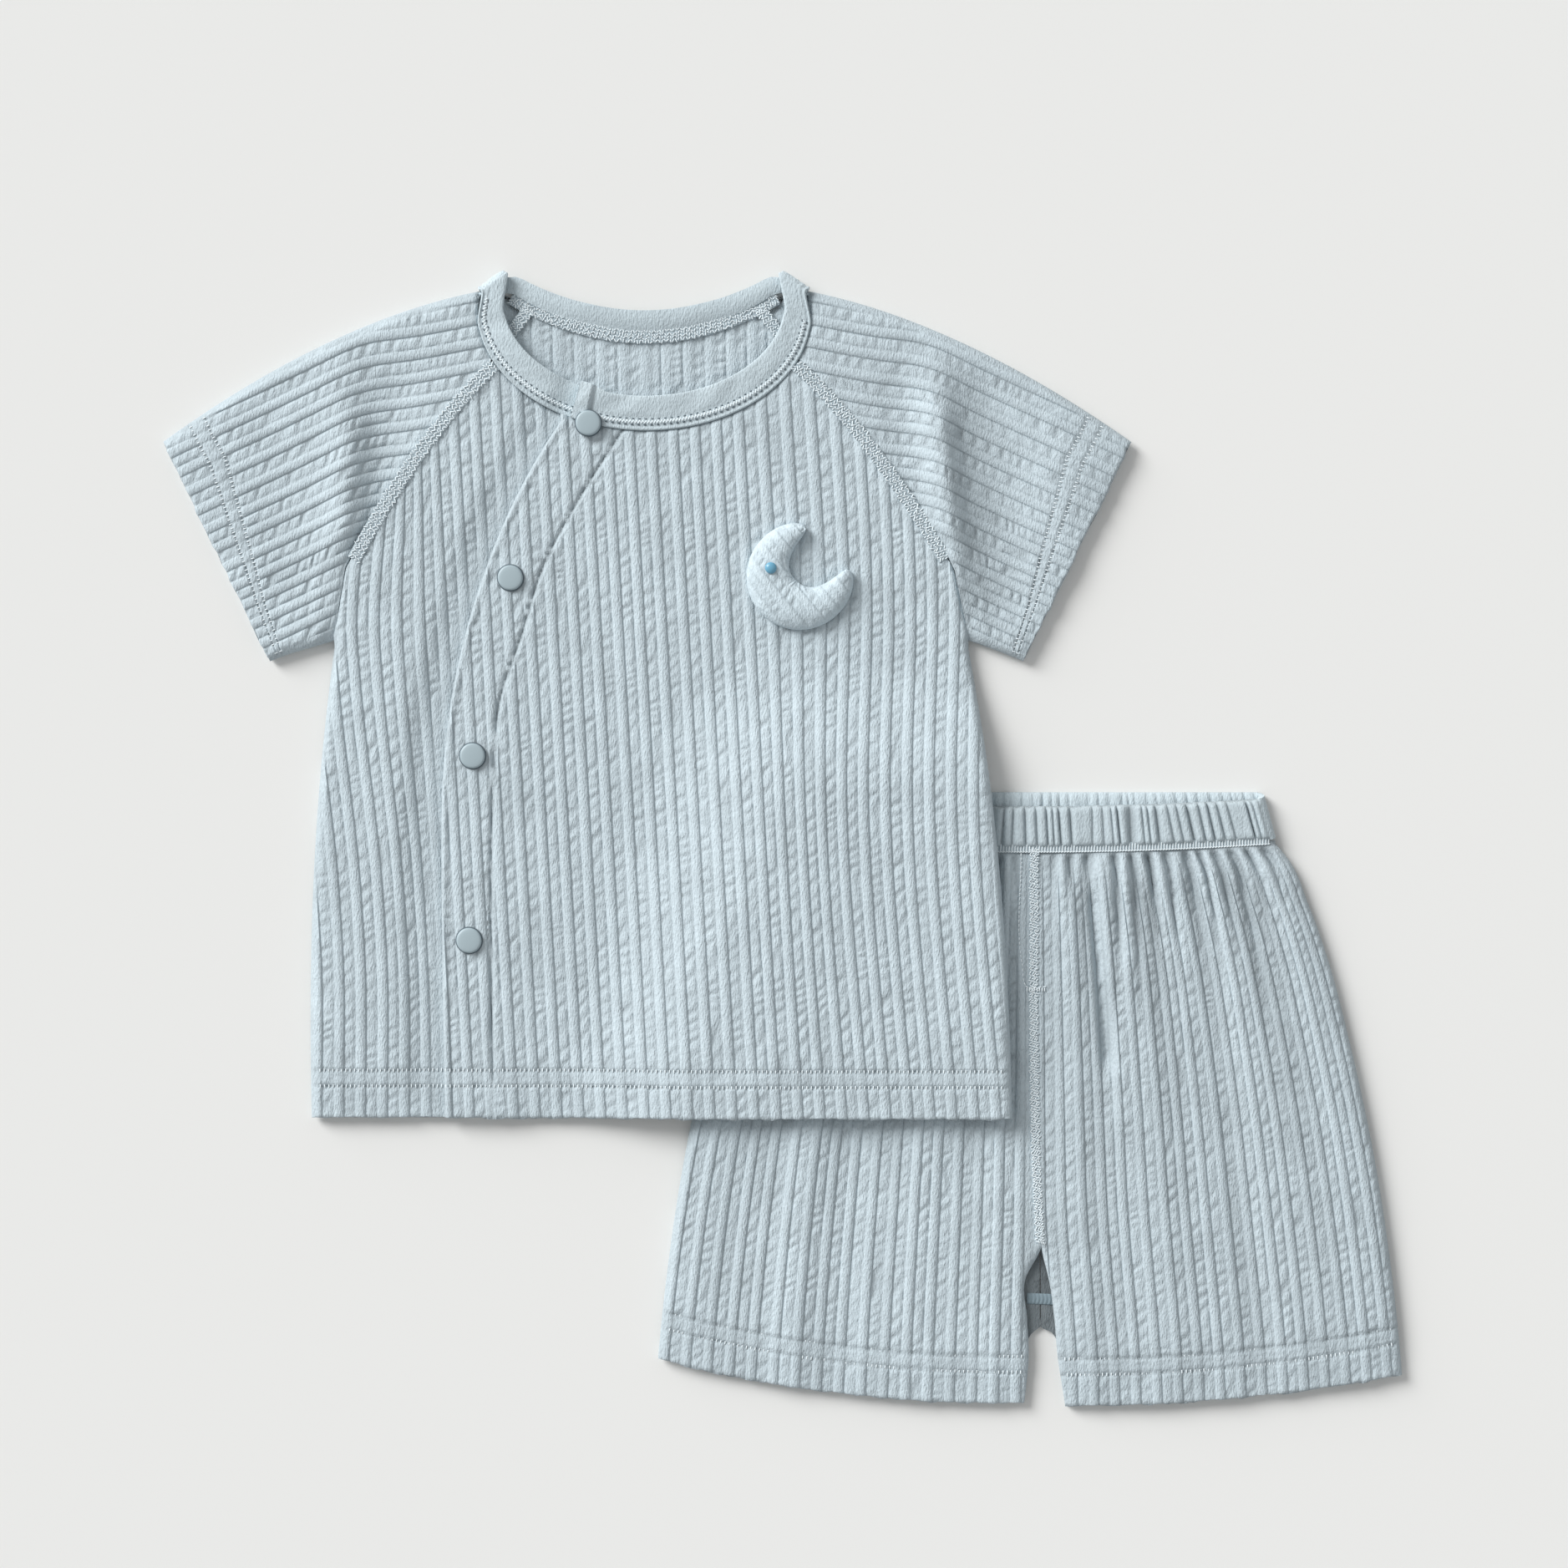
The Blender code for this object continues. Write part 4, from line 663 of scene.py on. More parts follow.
def sleeve(name, side, material):
    phases = rib_columns(0.0, float(SLEEVE_RIBS))
    below = np.array([0.997, 0.985, 0.96, 0.9, 0.78, 0.6, 0.4, 0.25, 0.16, 0.08, 0.04, 0.015, 0.003])
    sections = np.concatenate([np.linspace(0, 0.985, 140), [0.992, 0.997, 1]])

    def lower(rows, columns, inset):
        """The lower layer's face, or its lining, which lies an inset further in."""
        s, t = np.meshgrid(rows, columns, indexing="ij")
        x, y = sleeve_plan(side, "back", s, t)
        return placed(x, y, rolled(SEAM_HEIGHT, inset, sleeve_depth(t), inset), "top")

    dense = np.linspace(0, 1, 241)
    t, s = np.meshgrid(dense, sections)
    x, y = sleeve_plan(side, "front", s, t)
    along = [np.interp(phases, row, dense) for row in sleeve_phase(side * x, y)]
    first, last = np.array([0, 0.003, 0.008, 0.015, 0.023]), np.array([0.977, 0.985, 0.992, 0.997, 1])
    t = np.array([np.concatenate([first, np.clip(row, 0.03, 0.97), last]) for row in along])
    s = np.repeat(sections[:, None], t.shape[1], axis=1)
    over = t[len(t) // 2]
    x, y, z, _, relief = sleeve_face(side, s, t)
    face = np.concatenate([placed(x, y, z, "top"), lower(sections, below, 0)], axis=1)
    # Painted shade on the wearer's left sleeve: darker all over, and more on the slope beside its fold.
    shade = SLEEVE_PAINTED_SHADE[0] + SLEEVE_PAINTED_SHADE[1] * drape(side, side * x, y)[1] if side == 1 else 0
    painted_shade = np.concatenate([sunk(relief) + shade, np.zeros((len(sections), len(below)))], axis=1)
    plain = np.array([0.016, 0.03, 0.06, 0.2, 0.3, 0.4, 0.5, 0.6, 0.7, 0.8, 0.94, 0.97, 0.984])
    few = np.linspace(0, 1, 12)
    t, s = np.meshgrid(plain, few)
    x, y, _, top, _ = sleeve_face(side, s, t)
    z = rolled(SEAM_HEIGHT, top - WALL - 0.2, sleeve_depth(t), WALL)
    inner = np.concatenate([placed(x, y, z, "top"), lower(few, plain[::-1], WALL)], axis=1)
    places = (sections, np.append(over, 2 - below)), (few, np.append(plain, 2 - plain[::-1]))
    return wall(name, face, inner, places, material, ring=True, painted_shade=painted_shade)


def band_edges():
    """The neckband's seam edge and free edge, from its under end round to its over end."""

    def front(x_seam, mirror, z_seam, z_free):
        k = x_seam / (NECK_HALF - GAP)
        drop = math.sqrt(1 - k * k)
        seam = (mirror * x_seam, NECK_CENTRE_Y - (NECK_DROP - GAP) * drop, z_seam)
        return seam, (mirror * FREE_HALF * k, FREE_CENTRE_Y - FREE_DROP * drop, z_free)

    def fold(mirror, turn):
        out, z = FOLD_RADIUS * math.sin(turn), 4.8 + FOLD_RADIUS * math.cos(turn)
        ends = (FOLD_SEAM, FOLD_FREE)
        return tuple((mirror * (x + FOLD_OUTWARD[0] * out), y + FOLD_OUTWARD[1] * out, z) for x, y in ends)

    def back(x):
        k = abs(x) / BACK_NECK_SPAN
        z = 2.2 + 0.6 * smooth((abs(x) - 24) / 20)
        z_free = 2.6 + 1.2 * smooth((BACK_NECK_SPAN - 1 - abs(x)) / 30)
        seam_y = BACK_NECK_Y + GAP + BACK_NECK_RISE * (1.07 * k) ** 2
        return (x * 1.07, seam_y, z), (x, FREE_BACK_Y + FREE_BACK_RISE * k * k, z_free)

    turns = [math.pi * k / 6 for k in range(7)]
    spread = [math.sin(math.radians(a)) * NECK_HALF * 0.995 for a in range(11, 85, 7)]
    rises = [smooth((x - 31) / 14) for x in spread]
    under = [front(x, -1, 3.2 + 2.2 * rise, 3.6 + 3.2 * rise) for x, rise in zip(spread, rises)]
    over = []
    for x in [-30, -25, -18, -11, -4, 3, *spread][::-1]:
        rise = 1 - smooth((x + 26) / 22)
        seam, free = front(abs(x), 1 if x > 0 else -1, 5.4 + 0.6 * rise, 6.6 + 0.6 * rise)
        over.append((seam, (free[0], free[1] + 1.8 * smooth((-22 - x) / 3), free[2])))
    rear = [back(x) for x in (-50, -43, -35, -26, -13, 0, 13, 26, 35, 43, 50)]
    path = under + [front(66.1, -1, 5.8, 6.9)] + [fold(-1, a) for a in turns] + rear
    path += [fold(1, a) for a in turns[::-1]] + [front(66.1, 1, 5.8, 6.9)] + over
    return np.array(path).transpose(1, 0, 2)


def band_surface(along, across, sign=1):
    """Points on the neckband's face or lining. along counts the stations of its edges."""
    at = np.arange(BAND_EDGES.shape[1])
    seam, free = (np.stack([curve_through(along, at, e[:, k]) for k in range(3)], -1) for e in BAND_EDGES)
    middle = seam + (free - seam) * across[..., None]
    normal = np.cross(np.gradient(middle, axis=0), np.gradient(middle, axis=1))
    normal /= np.linalg.norm(normal, axis=-1, keepdims=True)
    half = BAND_THICK / 2 * (0.5 + 0.5 * np.sqrt(np.clip(1 - np.abs(2 * across - 1) ** 5, 0, 1)))
    if sign > 0:
        for high, line, width in ((0.4, 0.04, 0.04), (-0.5, 0.125, 0.03), (-0.3, 0.34, 0.03)):
            half = half + high * bump(across - line, width)
        half = half + 0.8 * (drift(along * 0.7 + 1.5 * across, 0, 41) - 0.5) * smooth((across - 0.35) / 0.2)
        half = half + 1.1 * smooth((along - TAB_AT) / 0.12) - 0.5 * bump(along - TAB_AT + 0.12, 0.1)
    return middle + sign * normal * half[..., None]


def neckband(material):
    along, few = np.linspace(0, BAND_EDGES.shape[1] - 1, 460), np.linspace(0, BAND_EDGES.shape[1] - 1, 116)
    across, plain = eased(21), np.linspace(0, 1, 5)
    grids = []
    for rows, columns, sign in ((across, along, 1), (plain, few, -1)):
        a, v = np.meshgrid(columns, rows)
        p = band_surface(a, v, sign)
        grids.append(placed(p[..., 0], p[..., 1], p[..., 2], "top"))
    return wall("neckband_cloth", *grids, ((across, along), (plain, few)), material)


def dome(name, centre, diameter, height, foot, profile, material):
    radius, steps = diameter / 2, 64
    angle = 2 * math.pi * np.arange(steps) / steps
    share, level = (np.array(c)[:, None] for c in zip(*profile))
    x, y = centre[0] + share * radius * np.cos(angle), centre[1] + share * radius * np.sin(angle)
    points = placed(x, y, foot + level * height, "top")
    faces = cell_quads(len(profile), steps + 1)
    rows, columns = np.divmod(faces, steps + 1)
    faces = (rows * steps + columns % steps).tolist()
    faces += [list(range(steps)), list(range(steps * (len(profile) - 1), steps * len(profile)))]
    return new_object(name, points.reshape(-1, 3), faces, material, turn=True)


def left_surface(x, y):
    return left_inner(x, y) + WALL + RIB_HEIGHT + top_floor(x, y)


def moon(material):
    """The padded crescent, sewn on flat at its rim, with ribs of its own that run slantwise."""
    along, across = (np.sin(np.linspace(-math.pi / 2, math.pi / 2, count)) for count in MOON_GRID)
    v, k = np.meshgrid(across, along)
    angle, far = np.radians(225 + MOON_SWEEP * k), np.abs(k)
    spine = MOON_SPINE[0] + (MOON_SPINE[1] - MOON_SPINE[0]) * far**3
    widest, tip = MOON_HALF_WIDTH
    half = (widest + (tip - widest) * far**2.3) * np.sqrt(1.001 - far**14)
    x = MOON_CENTRE[0] + (spine + half * v) * np.cos(angle)
    y = MOON_CENTRE[1] + (spine + half * v) * np.sin(angle)
    foot = left_surface(x, y) + GAP
    puff = MOON_HEIGHT * np.sqrt(np.clip(1 - np.abs(v) ** 2.4, 0, 1)) * (0.6 + 0.4 * half / widest)
    turned = x * math.cos(MOON_RIB_TURN) + y * math.sin(MOON_RIB_TURN)
    inset = smooth((1 - np.abs(v)) / 0.25) * smooth((1 - far) / 0.02)
    relief = 0.9 * (knit(turned / MOON_PITCH, y * 1.1 - x * 0.5, 51, 0.75) - 0.5) * inset
    pinch = 0.9 * (drift(k * 17, np.sign(v), 52) - 0.5) * bump(1 - np.abs(v), 0.35)
    face = placed(x, y, foot + 0.5 + np.maximum(puff + relief + pinch, 0), "top")
    lining = placed(x, y, foot, "top")[::6, ::6]
    rows, columns = (np.arange(count) for count in MOON_GRID)
    places = (rows, columns), (rows[::6], columns[::6])
    return wall("moon_pad", face, lining, places, material, painted_shade=sunk(relief + 0.5))


def leg_edges(side, layer, y):
    which = dict(SIDES)[side]
    middle = curve_through(y, INSEAM["y"], INSEAM["back_" + which if layer == "back" else which])
    return middle, side * side_x(y) + (0 if side == 1 else 2 * WAIST_SHIFT)


def band_front_y(x):
    """Where the waistband's front layer ends: a step below the back, more so in the middle."""
    k = np.clip(np.abs(x - WAIST_SHIFT) / WAIST_HALF, 0, 1)
    return WAIST_Y - WAIST_STEP[0] - WAIST_STEP[1] * (1 - k**2)


def leg_rise(side, layer, w):
    """A leg's hem and waist heights at w, which goes from the middle seam to the side."""
    low = LEG_HEM[side][0] + LEG_HEM[side][1] * np.abs(w) ** 2.2
    if layer == "front":
        return low, band_front_y(side * w * WAIST_HALF) - BAND_HEIGHT - GAP
    return low, WAIST_Y - BAND_HEIGHT - GAP - 4.0 * smooth((w - 0.92) / 0.05)


def gathers(ribs, down):
    """Cloth drawn together below the waistband: soft puffs, and folds of uneven reach between them."""
    turn = 0.82 * ribs + 1.2 * drift(ribs / 1.7, 0, 63) + 0.01 * down
    fold = 1 - np.abs(np.sin(math.pi * turn))
    reach = FOLD_REACH[0] + FOLD_REACH[1] * scatter(np.round(turn), 0, 64) ** 2
    deep = FOLD_DEEP[0] + FOLD_DEEP[1] * scatter(np.round(turn), 0, 65)
    puff = 0.05 - 0.5 * np.cos(2 * math.pi * (ribs / 2.9 + drift(ribs / 3, 0, 62)))
    fade = smooth(down / 14) * (0.25 + 0.75 * np.exp(-((down / GATHER_LENGTH) ** 1.5)))
    return GATHER * puff * fade + 1.1 * bump(down - 9, 8) - deep * fold * np.exp(-((down / reach) ** 1.4))


def leg_grid(side, layer):
    """A leg's grid in the plan, with each point's share of the width, and the hem and waist heights there."""
    fine = layer == "front"
    parts = COLUMNS if fine else (0, 0.3, 0.6)
    parts = parts if side == 1 else [1 - c for c in parts]
    columns = rib_columns(-1.0, float(SHORTS_RIBS), parts) / SHORTS_RIBS
    columns = np.unique(np.round(np.append(columns, [0.985, 0.992, 0.997, 0.999]), 4))
    rows = np.concatenate([[0, 0.0015, 0.004], np.linspace(0.008, 1, 246 if fine else 150)])
    w, f = np.meshgrid(columns, rows)
    low, waist = leg_rise(side, layer, w)
    y = low + (waist - low) * f
    middle, outer = leg_edges(side, layer, y)
    straight = 0.8 + 0.35 * INSEAM[dict(SIDES)[side]][0] * smooth((90 - y) / 90)
    x = straight + (outer - straight) * w
    past = (x - middle) * side < 0
    last = np.where(past.any(axis=1), past.shape[1] - 1 - past[:, ::-1].argmax(axis=1), 0)
    column = np.maximum(np.arange(past.shape[1]), last[:, None])
    x = np.where(past, middle, x)
    return (np.take_along_axis(grid, column, 1) for grid in (x, y, w, low, waist))


def leg(name, side, layer, material):
    fine = layer == "front"
    x, y, w, low, waist = leg_grid(side, layer)
    y = y + uneven_edge(x + 70) * (1 - smooth((y - low) / 8)) if fine else y

    def level(x, y, lift, inset):
        middle, outer = leg_edges(side, layer, y)
        w = np.clip((x - middle) / (outer - middle), 0, 1)
        if not fine:
            return rolled(SEAM_HEIGHT - GAP / 2, lift, (1 - w) * LEG_ACROSS, inset)
        round_off = rounded((1 - w) * LEG_ACROSS - inset, EDGE_RADIUS - inset)
        inseam = rounded((x - middle) * side - inset, INSEAM_RADIUS - inset)
        round_off = round_off * (1 - (1 - inseam) * (y < INSEAM_TOP + 4) * smooth((INSEAM_TOP - y) / 6))
        low, waist = leg_rise(side, layer, w)
        hem = (SHORTS_GAP - HEM_GAP) * (1 - smooth((y - low) / (waist - low) * 9))
        folds = fold_height(x, y, SHORTS_FOLDS) * smooth(w * 6)
        inner = WALL + SHORTS_GAP - hem - 0.7 * bump(w, 1 / 12) + folds
        seam = SEAM_HEIGHT + GAP / 2
        return seam + (inner + lift - seam) * round_off

    if not fine:
        relief = 0.35 * knit(w * SHORTS_RIBS + 0.4, y, 71) * smooth((y - low) / 3) * smooth((1 - w) * 20)
        face = level(x, y, WALL, WALL) + relief
        # Painted shadow: the back legs darkened inside the crotch opening.
        painted_shade = sunk(relief) + CROTCH_PAINTED_SHADOW * bump(x - 4, 12) * smooth((INSEAM_TOP - y) / 8)
        return cloth(name, x, y, face, painted_shade, lambda x, y: level(x, y, 0, 0), "shorts", material, 9.0)
    depth, down = (1 - w) * LEG_ACROSS, np.maximum(waist - y, 0)
    ribs = w * SHORTS_RIBS
    relief = hem_relief(knit(side * ribs, y, 65 + side), y - low, x)
    relief = relief * smooth(depth / 3) * (1 - 0.8 * bump(down, 12))
    relief = relief + gathers(ribs, down) * smooth(depth / 8) * smooth((w - 0.03) * 12)
    relief = relief * smooth((down - 1.5) / 3) * (1 - 0.9 * bump(x - FLY_X, 2.6))
    relief = relief - 0.6 * (1 - smooth((down - 1.6) / 1.4))
    face = level(x, y, WALL, 0) + relief
    face = face + (np.maximum(face, LEAST_FACE) - face) * smooth((y - NESTED_Y) / 10) * smooth(depth / 5)
    # Painted shade: the wearer's left front leg is darker all over, on top of its painted shade in hollows.
    painted_shade = sunk(relief) + (LEFT_LEG_PAINTED_SHADE if side == 1 else 0)

    def under(x, y):
        low = level(x, y, 0, WALL)
        return low + (np.minimum(low, LEAST_LINING) - low) * smooth((y - NESTED_Y) / 40)

    return cloth(name, x, y, face, painted_shade, under, "shorts", material)


def waistband(material):
    """The elastic waistband: a ring pressed flat, gathered into uneven pleats that run up and down."""
    rows, few = eased(20), eased(8)
    turn = np.radians(np.arange(15, 166, 15))

    def points(k, z, out, share_back, rows, uneven=0.0):
        k, f = np.meshgrid(k, rows)
        x = WAIST_SHIFT + k * (WAIST_HALF - 3.1) * (1 + WAIST_FLARE * (1 - f)) + np.sign(k) * out
        front_y, back_y = band_front_y(x) - BAND_HEIGHT * (1 - f), WAIST_Y - BAND_HEIGHT * (1 - f)
        stray = uneven * (drift(k * 37, 0, 83) - 0.3) * smooth((f - 0.7) / 0.3)
        y = front_y + (back_y - front_y) * share_back - stray
        return placed(x, y, np.broadcast_to(z, x.shape), "shorts")

    def pleats(across, rows, seed):
        """Flat pads with narrow creases between, some deep and some shallow, which run a little slantwise."""
        slant = 0.5 * (drift(across * 8, 0, seed + 3) - 0.5) * (rows[:, None] - 0.5)
        phase = WAIST_PLEATS / 2 * (across + 1) + 1.3 * drift(across * 15, 0, seed) + slant
        crease, near = creased(phase, *PLEAT_FALL)
        return 1 - (0.35 + 0.65 * scatter(crease, 0, seed + 1)) * near

    def ring(across, top, bottom, front_wave, back_wave, rows, lip):
        radius, middle = (top - bottom) / 2, (top + bottom) / 2
        inside = np.sqrt(np.clip(1 - (2 * rows[:, None] - 1) ** 10, 0, 1))
        edge = lip * (1 - rounded(np.minimum(rows, 1 - rows)[:, None] * BAND_HEIGHT, 1.6))
        one, out, share = np.ones(len(turn)), radius * np.sin(turn), smooth(turn / math.pi)
        raised = pleats(across, rows, 81) * inside
        over = top + front_wave * (raised - 0.65) - edge
        under = bottom + back_wave * (pleats(across[::-1], rows, 85) * inside - 0.6)
        parts = [
            points(across, over, 0, 0, rows, 0.7 if front_wave else 0.0),
            points(one, middle + radius * np.cos(turn), out, share, rows),
            points(across[::-1], under, 0, 1, rows),
            points(-one, middle - radius * np.cos(turn), out, 1 - share, rows),
        ]
        places = np.concatenate([across, 1 + turn / 10, 3 - across[::-1], 5 + turn / 10])
        rest = np.full((len(rows), len(places) - len(across)), 0.5)
        # Painted shade: the face darker all over and more in its creases, the ring's ends and back a fixed
        # share darker.
        painted_shade = np.concatenate([PLEAT_PAINTED_SHADE[0] + PLEAT_PAINTED_SHADE[1] * (1 - raised), rest], axis=1)
        return np.concatenate(parts, axis=1), places, painted_shade

    face, at_face, painted_shade = ring(np.linspace(-1, 1, 760), WAIST_TOP, 0.0, PLEAT, 0.0, rows, 1.1)
    lining, at_lining, _ = ring(np.linspace(-1, 1, 420), WAIST_HOLLOW, BAND_THICK, 0.0, BACK_PLEAT, few, 0.0)
    places = (rows, np.sort(at_face)), (few, np.sort(at_lining))
    return wall("waistband_cloth", face, lining, places, material, ring=True, painted_shade=painted_shade)


def resampled(path, step):
    """Points along a path at an even step, on a smooth curve where it has more than two points."""
    path = np.asarray(path, float)
    length = np.append(0, np.cumsum(np.hypot(*np.diff(path, axis=0).T)))
    at = np.linspace(0, length[-1], max(2, int(round(length[-1] / step)) + 1))
    if len(path) > 2:
        return np.stack([curve_through(at, length, path[:, k]) for k in (0, 1)], axis=1)
    return np.stack([np.interp(at, length, path[:, k]) for k in (0, 1)], axis=1)


def ahead_of(at):
    """Unit steps along a path."""
    ahead = np.gradient(at, axis=0)
    return ahead / np.linalg.norm(ahead, axis=1, keepdims=True)


class Sewing:
    """Gathers many small stitches, each a slim rounded thread, into one piece."""

    def __init__(self):
        self.points, self.faces = [], []

    def stitch(self, point, angle, size, plan="top"):
        """One stitch at a point of a plan. size is length, width and height."""
        ring = np.linspace(0, 2 * math.pi, 5, endpoint=False)
        local = [(u, r * math.cos(k), r * math.sin(k)) for u, r in ((-0.3, 0.5), (0.3, 0.5)) for k in ring]
        u, v, w = (np.array([(-0.5, 0, 0), *local, (0.5, 0, 0)]) * size).T
        x = point[0] + u * math.cos(angle) - v * math.sin(angle)
        y = point[1] + u * math.sin(angle) + v * math.cos(angle)
        base = 12 * len(self.points)
        self.points.append(placed(x, y, point[2] + w, plan))
        for k in range(5):
            n = (k + 1) % 5
            self.faces += [
                (base, base + 1 + n, base + 1 + k),
                (base + 1 + k, base + 1 + n, base + 6 + n, base + 6 + k),
                (base + 11, base + 6 + k, base + 6 + n),
            ]

    def row(self, path, height, plan, pitch=STITCH_PITCH, size=THREAD, turn=90.0):
        """Stitches along a path, turned from it by some degrees."""
        at = resampled(path, pitch)
        ahead = np.gradient(at, axis=0)
        angle = np.arctan2(ahead[:, 1], ahead[:, 0]) + math.radians(turn)
        for x, y, z, a in zip(*at.T, height(at[:, 0], at[:, 1]), angle):
            self.stitch((x, y, z), a, size, plan)

    def chained(self, path, half, height, plan):
        """A seam's cover of interlaced threads, as wide to either side of the path as half."""
        at = resampled(path, 0.27)
        ahead = ahead_of(at)
        count = np.arange(len(at))
        lane = (np.mod(count, 4) - 1.5) / 1.9 + 0.3 * (scatter(count, 1, 3) - 0.5)
        x, y = at[:, 0] - ahead[:, 1] * lane * half, at[:, 1] + ahead[:, 0] * lane * half
        side = np.where(np.mod(count, 8) < 4, 1, -1)
        angle = np.arctan2(ahead[:, 1], ahead[:, 0]) + side * (0.5 + 0.9 * scatter(count, 2, 3))
        for x, y, z, a, k in zip(x, y, height(x, y), angle, scatter(count, 3, 3)):
            self.stitch((x, y, z + 0.1 * k), a, (1.3 + 0.8 * k, 0.5, 0.6), plan)

    def piece(self, name, material):
        return new_object(name, np.concatenate(self.points), self.faces, material, turn=True)


def strip(name, path, width, height, plan, material, thick=0.2):
    """The ground of a sewn seam along a path: a low ribbon, ridged across."""
    step, pitch = 0.4, 1.6
    at = resampled(path, step)
    ahead = ahead_of(at)
    along = np.arange(len(at)) * step
    v = np.array([-1, -0.8, -0.4, 0, 0.4, 0.8, 1.0])
    x = at[:, :1] - ahead[:, 1:] * v * width / 2
    y = at[:, 1:] + ahead[:, :1] * v * width / 2
    chain = 0.6 + 0.4 * np.cos(2 * math.pi * (along[:, None] / pitch + 0.5 * np.abs(v)))
    top = height(x, y) + thick * chain * np.sqrt(np.clip(1 - v**4, 0, 1))
    low = height(x, y) - 0.6
    rows, face = np.arange(len(at)), placed(x, y, top, plan)
    return wall(name, face, placed(x, y, low, plan)[:, ::3], ((rows, v), (rows, v[::3])), material)


def paint(name, colour, roughness, sheen=0.0, grain=0.0, mottle=0.0):
    """A surface in one colour. grain is its knit's depth in metres, and mottle how much its shade varies."""
    material = bpy.data.materials.new(name)
    material.use_nodes = True
    nodes, links = material.node_tree.nodes, material.node_tree.links
    shader = nodes["Principled BSDF"]
    shader.inputs["Base Color"].default_value = (*colour, 1)
    shader.inputs["Roughness"].default_value = roughness
    shader.inputs["Sheen Weight"].default_value = sheen
    shader.inputs["Sheen Roughness"].default_value = 0.5
    if not grain:
        return material

    def node(kind, feeds, values, **settings):
        """A new node, fed by sockets of others, with values at the inputs that stay free."""
        made = nodes.new("ShaderNode" + kind)
        for setting, value in settings.items():
            setattr(made, setting, value)
        for at, value in values.items():
            made.inputs[at].default_value = value
        for at, source in feeds.items():
            links.new(source, made.inputs[at])
        return made

    place = node("TexCoord", {}, {}).outputs["Object"]
    stretched = node("Mapping", {"Vector": place}, {"Scale": (1.0, 0.4, 0.7)}).outputs["Vector"]
    fine = node("TexNoise", {"Vector": stretched}, {"Scale": 1500, "Detail": 2}).outputs["Fac"]
    wide = node("TexNoise", {"Vector": place}, {"Scale": 90, "Detail": 4}).outputs["Fac"]
    raised = node("Bump", {"Height": fine}, {"Distance": grain})
    both = node("Math", {0: fine, 1: wide}, {}, operation="ADD")
    half = node("Math", {0: both.outputs[0]}, {1: 0.5}, operation="MULTIPLY")
    ramp = node("ValToRGB", {"Fac": half.outputs[0]}, {})
    for stop, at, k in zip(ramp.color_ramp.elements, (0.35, 0.65), (1 - mottle, 1 + mottle)):
        stop.position = at
        stop.color = (*(c * k for c in colour), 1)
    # Painted shade: the colour is darkened by each point's stored share.
    painted_shade = node("Attribute", {}, {}, attribute_name="painted_shade").outputs["Fac"]
    deeper = node("Math", {0: painted_shade}, {1: -PAINTED_SHADE_STRENGTH, 2: 1.0}, operation="MULTIPLY_ADD")
    shaded = node("HueSaturation", {"Value": deeper.outputs[0], "Color": ramp.outputs["Color"]}, {})
    links.new(raised.outputs["Normal"], shader.inputs["Normal"])
    links.new(shaded.outputs["Color"], shader.inputs["Base Color"])
    return material


BAND_EDGES = band_edges()

knit_cloth = paint("puckered_knit", (0.527, 0.611, 0.655), 0.92, sheen=0.12, grain=0.0006, mottle=0.10)
jersey = paint("neckband_knit", (0.53, 0.617, 0.658), 0.92, sheen=0.12, grain=0.0005, mottle=0.08)
moon_cloth = paint("moon_knit", (0.595, 0.695, 0.747), 0.92, sheen=0.12, grain=0.0005, mottle=0.10)
# Painted shade: the ground of each seam, seen between its threads, is darker than the cloth.
painted_seam_shade = paint("painted_seam_shade", (0.40, 0.475, 0.515), 0.95)
thread = paint("thread", (0.79, 0.86, 0.89), 0.8, sheen=0.1)
# Painted shadow: the seam strip inside the crotch is darker than the other seams, as it lies in shade.
crotch_seam_painted_shadow = paint("crotch_seam_painted_shadow", (0.21, 0.275, 0.31), 0.95)
# Painted shade: near-black marks for the neckband's stitch holes and for the shadow gap under each snap's cap.
painted_hole_shade = paint("stitch_hole_painted_shade", (0.13, 0.165, 0.19), 0.9)
cap = paint("snap_cap", (0.37, 0.455, 0.49), 0.42)
bead = paint("blue_bead", (0.145, 0.37, 0.52), 0.3)

front_left = front(
    "front_left_cloth", rib_columns(-9.95, 17.0), lambda y: body_x(wrap_edge_q(y), y),
    lambda y: body_x(HEM_HALF + 0 * y, y) + OVERLAP * over_sleeve(y), left_inner, 1, left_relief, knit_cloth,
)
front_right = front(
    "front_right_cloth", rib_columns(-17.0, 0.0),
    lambda y: body_x(-HEM_HALF + 0 * y, y) - OVERLAP * over_sleeve(y),
    lambda y: body_x(np.minimum(wrap_edge_q(y) + WRAP_UNDER, WRAP_TOP_X + WRAP_UNDER - 3.5), y),
    right_inner, -1, right_relief, knit_cloth,
)
back = top_back(knit_cloth)
sleeves = {side: sleeve(f"sleeve_{which}_cloth", side, knit_cloth) for side, which in SIDES}
neck = neckband(jersey)
snap_shape = [
    (0.3, 0.97), (0.62, 0.93), (0.82, 0.88), (0.88, 0.84), (0.94, 0.76), (0.99, 0.55), (1, 0.4), (0.97, 0.3),
    (0.9, 0),
]
shadow_rim_shape = [(0.5, 1), (0.97, 0.9), (1, 0)]
caps, snap_shadow_rims = {}, {}
